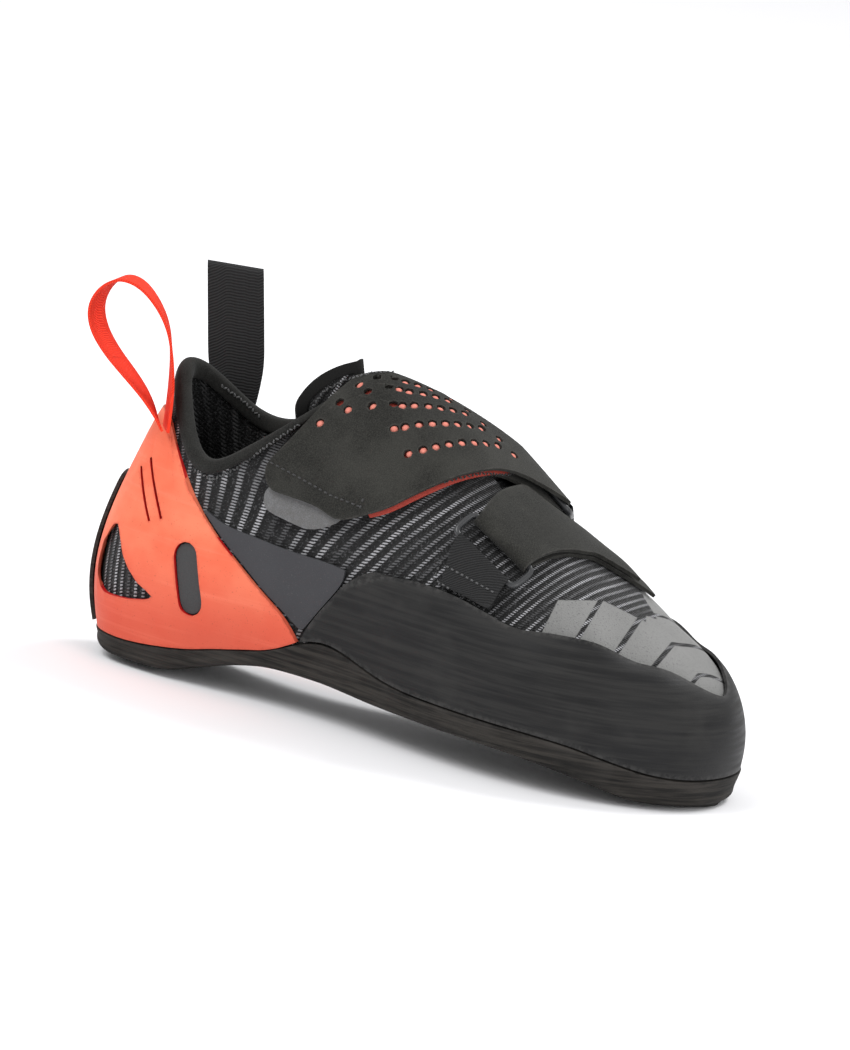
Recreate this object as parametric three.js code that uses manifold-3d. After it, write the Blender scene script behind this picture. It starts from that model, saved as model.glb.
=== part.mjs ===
import * as THREE from "three";
import { mergeVertices } from "three/addons/utils/BufferGeometryUtils.js";
import Module from "manifold-3d";

// Climbing shoe for the right foot. Sizes are in millimetres, angles in degrees.
// +X runs to the toe, +Y to the inner side of the foot, +Z up. The floor is z = 0.

// Driving sizes
const LENGTH = 243;
const BALL_WIDTH = 88;
const INSTEP_HEIGHT = 111;
const SOLE_THICKNESS = 4;
const SOLE_EDGE_ROUND = 1.9;
const WALL = 2;
const GAP = 0.3;
const INSOLE_THICKNESS = 2;
const RAND_THICKNESS = 1.8;
const CUP_THICKNESS = 1.8;
const PANEL_THICKNESS = 1;
const HEEL_REST_X = 25;
const HEEL_STRIP_THICKNESS = 1.2;
const HEEL_STRIP_TOP = 60;
const PAD_THICKNESS = 1;
const TONGUE_THICKNESS = 2.4;
const BINDING_THICKNESS = 1.3;
const STRAP_THICKNESS = 1.3;
const LINING_THICKNESS = 0.6;
const KEEPER_THICKNESS = 1.2;
const WIRE_RADIUS = 1.25;
const RING_ACROSS = 10;
const HOLE_RADIUS = 1.8;
const THROAT_HALF_WIDTH = 9;

// A row per section. at: 0 at the heel's back to 1 at the toe's tip, on both sides of the foot.
// Lengths are shares of LENGTH, widths of BALL_WIDTH (outer side negative), heights of INSTEP_HEIGHT.
// foot is where the wall meets the sole, top is the collar edge and then the crest of the instep.
// full is how far the wall swells outward in mm, square how boxy its curve is, crest 1 where both
// sides meet in a ridge.
const SECTION_COLUMNS = [
  "at", "footX", "footOuter", "footInner", "topX", "topOuter", "topInner",
  "riseOuter", "riseInner", "fullOuter", "fullInner", "square", "crest",
];
const SECTION_ROWS = [
  [0.00, 0.031, -0.011, -0.011, 0.0770, 0.000, 0.000, 0.917, 0.917, 8.3, 8.3, 2.1, 0.00],
  [0.05, 0.043, -0.130, 0.114, 0.0890, -0.091, 0.091, 0.887, 0.901, 7.9, 7.9, 2.1, 0.00],
  [0.10, 0.072, -0.203, 0.190, 0.112, -0.170, 0.170, 0.820, 0.851, 6.6, 6.6, 2.1, 0.00],
  [0.17, 0.134, -0.242, 0.230, 0.150, -0.244, 0.250, 0.707, 0.779, 5.4, 5.8, 2.1, 0.00],
  [0.24, 0.206, -0.256, 0.238, 0.191, -0.278, 0.284, 0.677, 0.757, 4.8, 6.0, 2.1, 0.00],
  [0.31, 0.284, -0.263, 0.220, 0.241, -0.273, 0.284, 0.750, 0.793, 4.5, 7.5, 2.1, 0.15],
  [0.38, 0.362, -0.278, 0.199, 0.288, -0.222, 0.233, 0.842, 0.865, 4.5, 9.0, 2.1, 0.50],
  [0.43, 0.420, -0.301, 0.210, 0.323, -0.119, 0.131, 0.928, 0.937, 4.5, 9.5, 2.1, 0.85],
  [0.47, 0.465, -0.327, 0.239, 0.356, 0.006, 0.006, 1.000, 1.000, 4.0, 9.0, 2.1, 1.00],
  [0.52, 0.523, -0.369, 0.295, 0.407, 0.011, 0.011, 1.000, 1.000, 3.5, 7.5, 2.1, 1.00],
  [0.57, 0.580, -0.409, 0.352, 0.461, 0.017, 0.017, 0.976, 0.976, 3.0, 5.5, 2.1, 1.00],
  [0.62, 0.637, -0.441, 0.403, 0.514, 0.023, 0.023, 0.928, 0.928, 2.5, 4.0, 2.2, 1.00],
  [0.67, 0.692, -0.455, 0.440, 0.567, 0.031, 0.031, 0.851, 0.851, 2.5, 3.0, 2.3, 1.00],
  [0.72, 0.746, -0.447, 0.462, 0.619, 0.040, 0.040, 0.759, 0.759, 2.5, 2.5, 2.5, 1.00],
  [0.77, 0.801, -0.412, 0.460, 0.675, 0.048, 0.048, 0.687, 0.687, 2.5, 2.5, 2.6, 1.00],
  [0.82, 0.851, -0.347, 0.440, 0.730, 0.057, 0.057, 0.629, 0.629, 3.0, 2.5, 2.8, 1.00],
  [0.87, 0.894, -0.258, 0.398, 0.780, 0.068, 0.068, 0.565, 0.565, 3.5, 3.0, 2.9, 1.00],
  [0.92, 0.931, -0.153, 0.330, 0.829, 0.080, 0.080, 0.509, 0.509, 3.5, 3.0, 3.0, 1.00],
  [0.96, 0.951, -0.045, 0.235, 0.866, 0.091, 0.091, 0.459, 0.459, 2.5, 2.5, 3.0, 1.00],
  [1.00, 0.959, 0.095, 0.095, 0.897, 0.097, 0.097, 0.414, 0.414, 2.0, 2.0, 3.0, 1.00],
];
const COLLAR_FRONT = 0.47;

// Underside: x share of LENGTH, lift of the middle and further lift of the edges, in mm.
const CAMBER_ROWS = [
  [-0.02, 5.5, 2.4],
  [0.020, 3.2, 2.4],
  [0.045, 1.0, 2.2],
  [0.068, 0.0, 2.0],
  [0.150, 0.0, 2.0],
  [0.190, 3.0, 2.0],
  [0.259, 8.3, 2.0],
  [0.325, 11.2, 2.0],
  [0.400, 11.4, 2.0],
  [0.500, 9.8, 2.2],
  [0.600, 9.0, 2.6],
  [0.700, 8.4, 2.8],
  [0.780, 6.4, 2.8],
  [0.850, 2.8, 2.4],
  [0.900, 0.0, 1.6],
  [1.020, 0.0, 1.0],
];

// Lines seen from the side: x share of LENGTH, height in mm for the outer and the inner side.
const SOLE_TOP_ROWS = [
  [-0.02, 9.6, 9.6],
  [0.08, 9.4, 9.4],
  [0.190, 12.2, 12.2],
  [0.253, 16, 16.5],
  [0.300, 17.5, 19],
  [0.335, 20.5, 24],
  [0.365, 24.5, 28],
  [0.410, 28, 31],
  [0.450, 26.3, 29.5],
  [0.500, 22.5, 26],
  [0.560, 20.3, 23],
  [0.650, 19.8, 21],
  [0.730, 19.4, 20],
  [0.807, 18, 18],
  [0.870, 14.5, 14.5],
  [0.915, 11.8, 12],
  [0.975, 10.6, 10.6],
  [1.020, 11, 11],
];

// Edges of the overlays on the wall: at (share of the way to the toe) against up (share of the
// way from the sole to the crest or collar). The same edges serve both sides.
const RAND_TOP_ROWS = [
  [0.40, 0.215],
  [0.475, 0.262],
  [0.531, 0.293],
  [0.620, 0.352],
  [0.758, 0.470],
  [0.863, 0.550],
  [0.950, 0.596],
  [1.050, 0.600],
];
// Rear edge of the rand: share of its own height against at.
const RAND_REAR_ROWS = [
  [0.00, 0.394],
  [0.35, 0.407],
  [0.60, 0.421],
  [0.82, 0.441],
  [0.94, 0.462],
  [1.00, 0.485],
];
const CUP_TOP_ROWS = [
  [-0.2, 0.90],
  [-0.1, 0.90],
  [0.00, 0.825],
  [0.10, 0.90],
  [0.20, 0.90],
];
// Front edge of the heel cup: up against at.
const CUP_FRONT_ROWS = [
  [0.00, 0.389],
  [0.105, 0.389],
  [0.16, 0.372],
  [0.267, 0.340],
  [0.525, 0.286],
  [0.812, 0.219],
  [0.875, 0.165],
  [0.92, 0.110],
];
// Top edge of the side panel: up against at.
const PANEL_TOP_ROWS = [
  [0.20, 0.490],
  [0.252, 0.452],
  [0.362, 0.390],
  [0.460, 0.350],
  [0.588, 0.304],
  [0.780, 0.238],
];

// Straps: the way along the strap, then its rear edge and its front edge, each as at and over.
// over runs from -1 (outer sole line) across the crest at 0 to 1 (inner sole line).
const UPPER_STRAP_ROWS = [
  [0.00, 0.352, -0.300, 0.440, -0.612],
  [0.07, 0.344, -0.225, 0.468, -0.625],
  [0.15, 0.344, -0.155, 0.490, -0.590],
  [0.40, 0.405, -0.092, 0.560, -0.440],
  [0.65, 0.470, -0.045, 0.615, -0.280],
  [0.85, 0.520, 0.000, 0.657, -0.120],
  [1.00, 0.555, 0.080, 0.690, 0.020],
  [1.30, 0.600, 0.260, 0.715, 0.250],
];
const LOWER_STRAP_ROWS = [
  [-0.30, 0.742, 0.290, 0.830, 0.270],
  [0.00, 0.735, 0.200, 0.828, 0.180],
  [0.30, 0.714, 0.060, 0.820, 0.050],
  [0.45, 0.698, -0.020, 0.808, -0.030],
  [0.75, 0.667, -0.170, 0.768, -0.160],
  [1.00, 0.643, -0.290, 0.740, -0.260],
  [1.30, 0.614, -0.440, 0.712, -0.395],
];
const LOWER_RING_AT = [0.657, -0.437];
const UPPER_RING_AT = [0.648, 0.275];
const RING_LENGTH = 28;

// Interpolation

// Slopes at the knots of a smooth curve: middle slopes, or flat ones where the values turn.
function knotSlopes(at, value, calm) {
  return at.map((_, i) => {
    if (i === 0 || i === at.length - 1) {
      return 0;
    }
    const before = (value[i] - value[i - 1]) / (at[i] - at[i - 1]);
    const after = (value[i + 1] - value[i]) / (at[i + 1] - at[i]);
    if (calm) {
      return before * after <= 0 ? 0 : (2 * before * after) / (before + after);
    }
    const left = at[i] - at[i - 1];
    const right = at[i + 1] - at[i];
    return (before * right + after * left) / (left + right);
  });
}

function hermite(at, value, slope, t) {
  let i = 0;
  while (i < at.length - 2 && t > at[i + 1]) {
    i += 1;
  }
  const width = at[i + 1] - at[i];
  const s = Math.min(1, Math.max(0, (t - at[i]) / width));
  const s2 = s * s;
  const s3 = s2 * s;
  return value[i] * (2 * s3 - 3 * s2 + 1) + slope[i] * width * (s3 - 2 * s2 + s)
    + value[i + 1] * (3 * s2 - 2 * s3) + slope[i + 1] * width * (s3 - s2);
}

// A curve over one column of a table, flat where the table is flat.
function calmCurve(rows, column, scaleIn = 1, scaleOut = 1) {
  const at = rows.map((row) => row[0] * scaleIn);
  const value = rows.map((row) => row[column] * scaleOut);
  const slope = knotSlopes(at, value, true);
  return (t) => hermite(at, value, slope, t);
}

// A curve round the whole foot: outer side from -1 to 0, inner side from 0 to 1.
function roundCurve(outerName, innerName, scale) {
  const outerColumn = SECTION_COLUMNS.indexOf(outerName);
  const innerColumn = SECTION_COLUMNS.indexOf(innerName);
  const outer = SECTION_ROWS.map((row) => [-row[0], row[outerColumn] * scale]).reverse();
  const inner = SECTION_ROWS.map((row) => [row[0], row[innerColumn] * scale]);
  const once = [...outer, ...inner.slice(1)];
  const before = inner.slice(-3, -1).map(([at, value]) => [at - 2, value]);
  const after = outer.slice(1, 3).map(([at, value]) => [at + 2, value]);
  const knots = [...before, ...once, ...after];
  const at = knots.map((knot) => knot[0]);
  const value = knots.map((knot) => knot[1]);
  const slope = knotSlopes(at, value, false);
  return (v) => hermite(at, value, slope, v);
}

// From the collar's front to the toe both sides share one line, the crest.
function crestJoined(curve) {
  return (v) => (Math.abs(v) < COLLAR_FRONT ? curve(v) : (curve(v) + curve(-v)) / 2);
}

const footX = roundCurve("footX", "footX", LENGTH);
const footY = roundCurve("footOuter", "footInner", BALL_WIDTH);
const topX = roundCurve("topX", "topX", LENGTH);
const topY = crestJoined(roundCurve("topOuter", "topInner", BALL_WIDTH));
const topZ = crestJoined(roundCurve("riseOuter", "riseInner", INSTEP_HEIGHT));
const fullness = roundCurve("fullOuter", "fullInner", 1);
const squareness = roundCurve("square", "square", 1);
const crestShare = roundCurve("crest", "crest", 1);
const camber = calmCurve(CAMBER_ROWS, 1, LENGTH);
const edgeLift = calmCurve(CAMBER_ROWS, 2, LENGTH);
const soleTopOuter = calmCurve(SOLE_TOP_ROWS, 1, LENGTH);
const soleTopInner = calmCurve(SOLE_TOP_ROWS, 2, LENGTH);

function mix(a, b, share) {
  return a + (b - a) * share;
}

function clamp(value, low, high) {
  return Math.min(high, Math.max(low, value));
}

// Height of the sole's underside at x, across from -1 (outer edge) to 1 (inner edge).
const FLAT_SHARE = 0.55;
function undersideZ(x, across) {
  const rise = clamp((Math.abs(across) - FLAT_SHARE) / (1 - FLAT_SHARE), 0, 1.2);
  return camber(x) + edgeLift(x) * rise * rise;
}

// Plan direction away from the foot at the wall's foot.
function planOut(v) {
  const step = 0.004;
  const dx = footX(v + step) - footX(v - step);
  const dy = footY(v + step) - footY(v - step);
  const size = Math.hypot(dx, dy);
  return [-dy / size, dx / size];
}

function wrap(v) {
  if (v > 1) {
    return v - 2;
  }
  return v < -1 ? v + 2 : v;
}

// Slope of the instep's crest, going back from the toe.
function crestSlope(v) {
  const w = clamp(Math.abs(v), COLLAR_FRONT + 0.01, 0.98);
  const step = 0.02;
  return (topZ(w + step) - topZ(w - step)) / (topX(w + step) - topX(w - step));
}

// A point of the last. v goes round the foot, h from 0 at the sole to 1 at the collar or crest.
function lastPoint(vIn, h) {
  const v = wrap(vIn);
  const fx = footX(v);
  const fy = footY(v);
  const side = v < 0 ? -1 : 1;
  const fz = undersideZ(fx, side) + SOLE_THICKNESS + GAP;
  const dx = topX(v) - fx;
  const dy = topY(v) - fy;
  const dz = topZ(v) - fz;
  const crest = crestShare(v);
  const lift = crestSlope(v) * dx * crest;
  const turn = (h * Math.PI) / 2;
  const along = Math.max(0, Math.cos(turn));
  const upward = Math.sin(turn);
  const square = squareness(v);
  const radius = Math.pow(Math.pow(along, square) + Math.pow(upward, square), -1 / square);
  const run = mix(h, 1 - radius * along, crest);
  const rise = mix(h, radius * upward, crest);
  const swell = 6.75 * h * (1 - h) * (1 - h) * fullness(v);
  const [nx, ny] = planOut(v);
  return new THREE.Vector3(
    fx + dx * run + nx * swell,
    fy + dy * run + ny * swell,
    fz + (dz - lift) * rise + lift * run,
  );
}

// Direction away from the foot at a point of the last.
function lastNormal(v, h) {
  if (h > 0.9999 && Math.abs(v) >= COLLAR_FRONT) {
    return new THREE.Vector3(-crestSlope(v), 0, 1).normalize();
  }
  const stepV = 0.003;
  const stepH = 0.01;
  const hLow = clamp(h - stepH, 0, 1);
  const hHigh = clamp(h + stepH, 0, 1);
  const around = lastPoint(v + stepV, h).sub(lastPoint(v - stepV, h));
  const upward = lastPoint(v, hHigh).sub(lastPoint(v, hLow));
  return upward.cross(around).normalize();
}

function skin(v, h, away) {
  return lastPoint(v, h).addScaledVector(lastNormal(v, h), away);
}

// The instep as one sheet: w from the collar's front to the toe, u from -1 (outer sole line)
// over 0 (crest) to 1 (inner sole line).
function overPoint(w, u, away) {
  const side = u < 0 ? -1 : 1;
  return skin(side * w, 1 - Math.abs(u), away);
}

function solve(low, high, miss) {
  let a = low;
  let b = high;
  for (let i = 0; i < 30; i += 1) {
    const middle = (a + b) / 2;
    if (miss(middle) > 0) {
      b = middle;
    } else {
      a = middle;
    }
  }
  return (a + b) / 2;
}

// Height share at which the wall at v meets a line seen from the side.
function heightOn(v, line) {
  return solve(0, 0.98, (h) => {
    const p = lastPoint(v, h);
    return p.z - line(p.x);
  });
}

function soleTop(v) {
  const line = v < 0 ? soleTopOuter : soleTopInner;
  const other = v < 0 ? soleTopInner : soleTopOuter;
  const near = clamp(Math.min(Math.abs(v), 1 - Math.abs(v)) / 0.1, 0, 1);
  return (x) => mix((line(x) + other(x)) / 2, line(x), near);
}

// Solids

function geometryOf(vertices, faces) {
  const geometry = new THREE.BufferGeometry();
  const flat = new Float32Array(vertices.length * 3);
  vertices.forEach((p, i) => flat.set([p.x, p.y, p.z], i * 3));
  geometry.setAttribute("position", new THREE.BufferAttribute(flat, 3));
  geometry.setIndex(faces.flat());
  return tidy(geometry);
}

// Joins equal corners, drops faces that have shrunk to a line, turns the solid right side out.
function tidy(geometry) {
  const plain = geometry.clone();
  plain.deleteAttribute("normal");
  plain.deleteAttribute("uv");
  const merged = mergeVertices(plain, 1e-3);
  const index = merged.index.array;
  const p = merged.attributes.position;
  const kept = [];
  let volume = 0;
  const a = new THREE.Vector3();
  const b = new THREE.Vector3();
  const c = new THREE.Vector3();
  for (let i = 0; i < index.length; i += 3) {
    const [i0, i1, i2] = [index[i], index[i + 1], index[i + 2]];
    if (i0 !== i1 && i1 !== i2 && i2 !== i0) {
      kept.push([i0, i1, i2]);
      a.fromBufferAttribute(p, i0);
      b.fromBufferAttribute(p, i1);
      c.fromBufferAttribute(p, i2);
      volume += a.dot(b.cross(c));
    }
  }
  const turned = volume < 0 ? kept.map(([i0, i1, i2]) => [i0, i2, i1]) : kept;
  merged.setIndex(turned.flat());
  return merged;
}

const wasm = await Module();
wasm.setup();

function solidOf(geometry) {
  const merged = tidy(geometry);
  return new wasm.Manifold(new wasm.Mesh({
    numProp: 3,
    vertProperties: merged.attributes.position.array,
    triVerts: new Uint32Array(merged.index.array),
  }));
}

function geometryFrom(solid) {
  const mesh = solid.getMesh();
  const geometry = new THREE.BufferGeometry();
  geometry.setAttribute("position", new THREE.BufferAttribute(mesh.vertProperties, 3));
  geometry.setIndex(new THREE.BufferAttribute(mesh.triVerts, 1));
  return geometry;
}

// Closed rings joined one to the next; the first and last rings are closed by the fill function.
// Every ring has 2 * STATIONS points, from the toe's tip along the outer side, round the heel
// and along the inner side.
const STATIONS = 40;
const STATION_BUNCHING = 0.055;
const COLLAR_STATION = Math.round(STATIONS * COLLAR_FRONT);
function stationAt(i) {
  const t = i / STATIONS;
  const spread = t - STATION_BUNCHING * Math.sin(2 * Math.PI * t);
  return i === COLLAR_STATION ? COLLAR_FRONT : spread;
}
const AROUND = [];
for (let i = STATIONS; i > 0; i -= 1) {
  AROUND.push(-stationAt(i));
}
for (let i = 0; i < STATIONS; i += 1) {
  AROUND.push(stationAt(i));
}

// Faces between closed rings, each a list of the same number of points.
function ringFaces(vertices, faces, rings, open = () => false) {
  const first = vertices.length;
  const count = rings[0].length;
  rings.forEach((ring) => vertices.push(...ring));
  for (let r = 0; r + 1 < rings.length; r += 1) {
    for (let i = 0; i < count; i += 1) {
      const a = first + r * count + i;
      const b = first + r * count + ((i + 1) % count);
      if (!open(r, i)) {
        faces.push([a, b, b + count], [a, b + count, a + count]);
      }
    }
  }
}

// Faces that close a ring by rows from its outer side to its inner side. place gives the point at
// station w, across from -1 to 1, between the two ring points.
const ACROSS = [-1, -0.55, 0.55, 1];
function fillFaces(vertices, faces, ring, height, reverse) {
  const first = vertices.length;
  const count = ACROSS.length;
  for (let i = 0; i <= STATIONS; i += 1) {
    const outer = ring[(STATIONS - i) % ring.length];
    const inner = ring[(STATIONS + i) % ring.length];
    ACROSS.forEach((across) => {
      const share = (across + 1) / 2;
      const p = outer.clone().lerp(inner, share);
      if (Math.abs(across) < 1) {
        p.z = height(p.x, across);
      }
      if (i === 0 || i === STATIONS) {
        p.copy(outer);
      }
      vertices.push(p);
    });
  }
  for (let i = 0; i < STATIONS; i += 1) {
    for (let k = 0; k + 1 < count; k += 1) {
      const a = first + i * count + k;
      const b = a + 1;
      const c = a + count;
      const d = c + 1;
      if (reverse) {
        faces.push([a, b, d], [a, d, c]);
      } else {
        faces.push([a, d, b], [a, c, d]);
      }
    }
  }
}

// A sheet of even thickness: columns by rows of points, an inner and an outer face and the rim.
// place(c, r, face) gives the point at shares c and r; face 0 is the inner face and 1 the outer.
// turned says for which columns the four-sided faces are split along their other diagonal.
function sheet(columns, rows, place, turned = () => false) {
  const vertices = [];
  const faces = [];
  const cols = Array.isArray(columns) ? columns : [...Array(columns + 1).keys()].map((i) => i / columns);
  const rws = Array.isArray(rows) ? rows : [...Array(rows + 1).keys()].map((i) => i / rows);
  const nc = cols.length;
  const nr = rws.length;
  [0, 1].forEach((face) => {
    cols.forEach((c) => rws.forEach((r) => vertices.push(place(c, r, face))));
  });
  const id = (c, r, face) => face * nc * nr + c * nr + r;
  for (let c = 0; c + 1 < nc; c += 1) {
    for (let r = 0; r + 1 < nr; r += 1) {
      if (turned(c)) {
        faces.push([id(c, r, 1), id(c + 1, r, 1), id(c, r + 1, 1)]);
        faces.push([id(c + 1, r, 1), id(c + 1, r + 1, 1), id(c, r + 1, 1)]);
        faces.push([id(c, r, 0), id(c, r + 1, 0), id(c + 1, r, 0)]);
        faces.push([id(c + 1, r, 0), id(c, r + 1, 0), id(c + 1, r + 1, 0)]);
      } else {
        faces.push([id(c, r, 1), id(c + 1, r, 1), id(c + 1, r + 1, 1)]);
        faces.push([id(c, r, 1), id(c + 1, r + 1, 1), id(c, r + 1, 1)]);
        faces.push([id(c, r, 0), id(c + 1, r + 1, 0), id(c + 1, r, 0)]);
        faces.push([id(c, r, 0), id(c, r + 1, 0), id(c + 1, r + 1, 0)]);
      }
    }
  }
  const rim = (c0, r0, c1, r1) => {
    faces.push([id(c0, r0, 1), id(c1, r1, 0), id(c1, r1, 1)]);
    faces.push([id(c0, r0, 1), id(c0, r0, 0), id(c1, r1, 0)]);
  };
  for (let c = 0; c + 1 < nc; c += 1) {
    rim(c, 0, c + 1, 0);
    rim(c + 1, nr - 1, c, nr - 1);
  }
  for (let r = 0; r + 1 < nr; r += 1) {
    rim(0, r + 1, 0, r);
    rim(nc - 1, r, nc - 1, r + 1);
  }
  return geometryOf(vertices, faces);
}

// Upper
const UPPER_ROWS = [0, 0.13, 0.27, 0.41, 0.55, 0.68, 0.8, 0.89, 0.95, 1];
function makeUpper() {
  const vertices = [];
  const faces = [];
  const outer = UPPER_ROWS.map((h) => AROUND.map((v) => skin(v, h, 0)));
  const inner = UPPER_ROWS.map((h) => AROUND.map((v) => skin(v, h, -WALL)));
  const foot = AROUND.map((v) => {
    const [nx, ny] = planOut(v);
    const p = lastPoint(v, 0);
    return new THREE.Vector3(p.x - nx * WALL, p.y - ny * WALL, p.z);
  });
  inner[0] = foot;
  const last = AROUND.length;
  const onCrest = (i) => {
    const here = Math.abs(AROUND[i]);
    const next = Math.abs(AROUND[(i + 1) % last]);
    return Math.min(here, next) > COLLAR_FRONT - 1e-6;
  };
  const collarStep = UPPER_ROWS.length - 1;
  const rings = [...outer, ...inner.reverse(), outer[0]];
  ringFaces(vertices, faces, rings, (r, i) => r === collarStep && onCrest(i));
  return geometryOf(vertices, faces);
}

// Outsole
const SOLE_OUT = GAP + RAND_THICKNESS + 0.5;
function planRing(away, lift) {
  return AROUND.map((v) => {
    const [nx, ny] = planOut(v);
    const p = lastPoint(v, 0);
    p.x += nx * away;
    p.y += ny * away;
    p.z += lift;
    return p;
  });
}

// Height share of the rim of the sole at v.
function rimHeight(v) {
  return Math.max(0.02, heightOn(v, soleTop(v)));
}

function makeOutsole() {
  const vertices = [];
  const faces = [];
  const down = -(SOLE_THICKNESS + GAP);
  const bottom = planRing(SOLE_OUT - SOLE_EDGE_ROUND, down);
  const round = planRing(SOLE_OUT - 0.3 * SOLE_EDGE_ROUND, down + 0.3 * SOLE_EDGE_ROUND);
  const edge = planRing(SOLE_OUT, down + SOLE_EDGE_ROUND);
  const rimShares = [0, 0.5, 1];
  const rimHeights = AROUND.map((v) => rimHeight(v));
  const outside = rimShares.map((share) => AROUND.map((v, i) => {
    return skin(v, rimHeights[i] * share, SOLE_OUT);
  }));
  const inside = [...rimShares].reverse().map((share) => AROUND.map((v, i) => {
    return skin(v, rimHeights[i] * share, GAP);
  }));
  const corner = planRing(GAP, -GAP);
  ringFaces(vertices, faces, [bottom, round, edge, ...outside, ...inside.slice(0, 2), corner]);
  fillFaces(vertices, faces, bottom, (x, across) => undersideZ(x, across), false);
  fillFaces(vertices, faces, corner, (x, across) => undersideZ(x, across) + SOLE_THICKNESS, true);
  return geometryOf(vertices, faces);
}

// Insole
function makeInsole() {
  const vertices = [];
  const faces = [];
  const low = planRing(-WALL - GAP - 0.2, 0);
  const high = planRing(-WALL - GAP - 0.4, INSOLE_THICKNESS);
  ringFaces(vertices, faces, [low, high]);
  fillFaces(vertices, faces, low, (x, a) => undersideZ(x, a) + SOLE_THICKNESS + GAP, false);
  const lift = SOLE_THICKNESS + GAP + INSOLE_THICKNESS;
  fillFaces(vertices, faces, high, (x, a) => undersideZ(x, a) + lift, true);
  return geometryOf(vertices, faces);
}

// Overlays on the wall

function lineCurve(rows, column = 1) {
  return calmCurve(rows, column);
}

const randTop = lineCurve(RAND_TOP_ROWS);
const randRear = lineCurve(RAND_REAR_ROWS);
const cupTop = lineCurve(CUP_TOP_ROWS);
const cupFront = lineCurve(CUP_FRONT_ROWS);
const panelTop = lineCurve(PANEL_TOP_ROWS);

// Height share of the overlays' lower edge, just above the sole's rim.
function overlayFoot(v) {
  const top = rimHeight(v);
  const step = 0.01;
  const size = lastPoint(v, top + step).distanceTo(lastPoint(v, top));
  return top + (step * GAP * 2) / size;
}

function thinned(thickness, edge) {
  return thickness * (1 - 0.45 * clamp(edge, 0, 1));
}

const RAND_CLEAR = 0.45;
const RAND_UPS = [0, 0.22, 0.45, 0.68, 0.88, 1];
const RAND_HALF_COLUMNS = 23;
function makeRand() {
  const columns = [...Array(2 * RAND_HALF_COLUMNS + 1).keys()].map((i) => i / RAND_HALF_COLUMNS - 1);
  return sheet(columns, RAND_UPS, (c, r, face) => {
    const rear = randRear(r);
    const w = 1 - (1 - rear) * Math.pow(Math.abs(c), 1.15);
    const v = c < 0 ? -w : w;
    const up = mix(overlayFoot(v), randTop(w), r);
    const away = RAND_CLEAR + (face ? thinned(RAND_THICKNESS, (r - 0.88) / 0.12) : 0);
    return skin(v, up, away);
  });
}

const CUP_UPS = [0, 0.12, 0.25, 0.38, 0.51, 0.65, 0.79, 0.93, 1];
const CUP_COLUMNS = 32;
const CUP_CLEAR = 0.55;
function makeCup() {
  return sheet(CUP_COLUMNS, CUP_UPS, (c, r, face) => {
    const upAt = (v) => mix(overlayFoot(v), cupTop(v), r);
    const edge = (side) => solve(0.02, 0.42, (w) => w - cupFront(upAt(side * w)));
    const span = c < 0.5 ? -edge(-1) : edge(1);
    const share = Math.abs(2 * c - 1);
    const v = span * share;
    const away = CUP_CLEAR + (face ? thinned(CUP_THICKNESS, (r - 0.93) / 0.07) : 0);
    return skin(v, upAt(v), away);
  });
}

// A prism through the shoe from side to side; the outline is x and z in mm.
function sidePrism(outline, side, low = 4, high = 70) {
  const shape = new THREE.Shape(outline.map(([x, z]) => new THREE.Vector2(x, z)));
  const geometry = new THREE.ExtrudeGeometry(shape, { depth: high - low, bevelEnabled: false });
  geometry.rotateX(Math.PI / 2);
  geometry.translate(0, side < 0 ? -low : high, 0);
  return solidOf(geometry);
}

function rounded(points, steps = 2) {
  const curve = new THREE.CatmullRomCurve3(
    points.map(([x, z]) => new THREE.Vector3(x, z, 0)), true, "centripetal");
  return curve.getPoints(points.length * steps).slice(0, -1).map((p) => [p.x, p.y]);
}

// Heel cup window, slits and slot, as x and z in mm.
const WINDOW = [
  [10.5, 45], [13.5, 46.5], [19, 38], [27, 30.5], [34, 27.3], [31, 25.4], [16, 23], [11, 24], [7.2, 32],
];
const SLOT_CENTRE = [46.5, 36.5];
const SLOT_LENGTH = 25;
const SLOT_WIDTH = 9;
const SLOT_LEAN = 18;
const SLITS = [
  [[19.5, 70.5], [31, 53], [31.8, 53.5], [20.4, 71]],
  [[16, 66.5], [26.5, 51], [27.3, 51.5], [16.9, 67]],
];

function stadium(length, width) {
  const points = [];
  const lean = (SLOT_LEAN * Math.PI) / 180;
  const steps = 6;
  [1, -1].forEach((end) => {
    for (let i = 0; i <= steps; i += 1) {
      const turn = (Math.PI * i) / steps;
      const across = (end * width * Math.cos(turn)) / 2;
      const along = end * ((length - width) / 2 + (width * Math.sin(turn)) / 2);
      points.push([
        SLOT_CENTRE[0] + across * Math.cos(lean) - along * Math.sin(lean),
        SLOT_CENTRE[1] + across * Math.sin(lean) + along * Math.cos(lean),
      ]);
    }
  });
  return points;
}

function cutCup() {
  let cup = solidOf(makeCup());
  [-1, 1].forEach((side) => {
    cup = cup.subtract(sidePrism(rounded(WINDOW), side));
    cup = cup.subtract(sidePrism(stadium(SLOT_LENGTH, SLOT_WIDTH), side));
    SLITS.forEach((slit) => {
      cup = cup.subtract(sidePrism(slit, side, 2));
    });
  });
  return geometryFrom(cup);
}

function makePad(side) {
  const blank = solidOf(sheet(8, 6, (c, r, face) => {
    const v = side * mix(0.15, 0.3, c);
    return skin(v, mix(0.08, 0.78, r), GAP + (face ? PAD_THICKNESS : 0));
  }));
  const cut = blank.intersect(sidePrism(stadium(SLOT_LENGTH - 1, SLOT_WIDTH - 1), side));
  return geometryFrom(cut);
}

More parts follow.
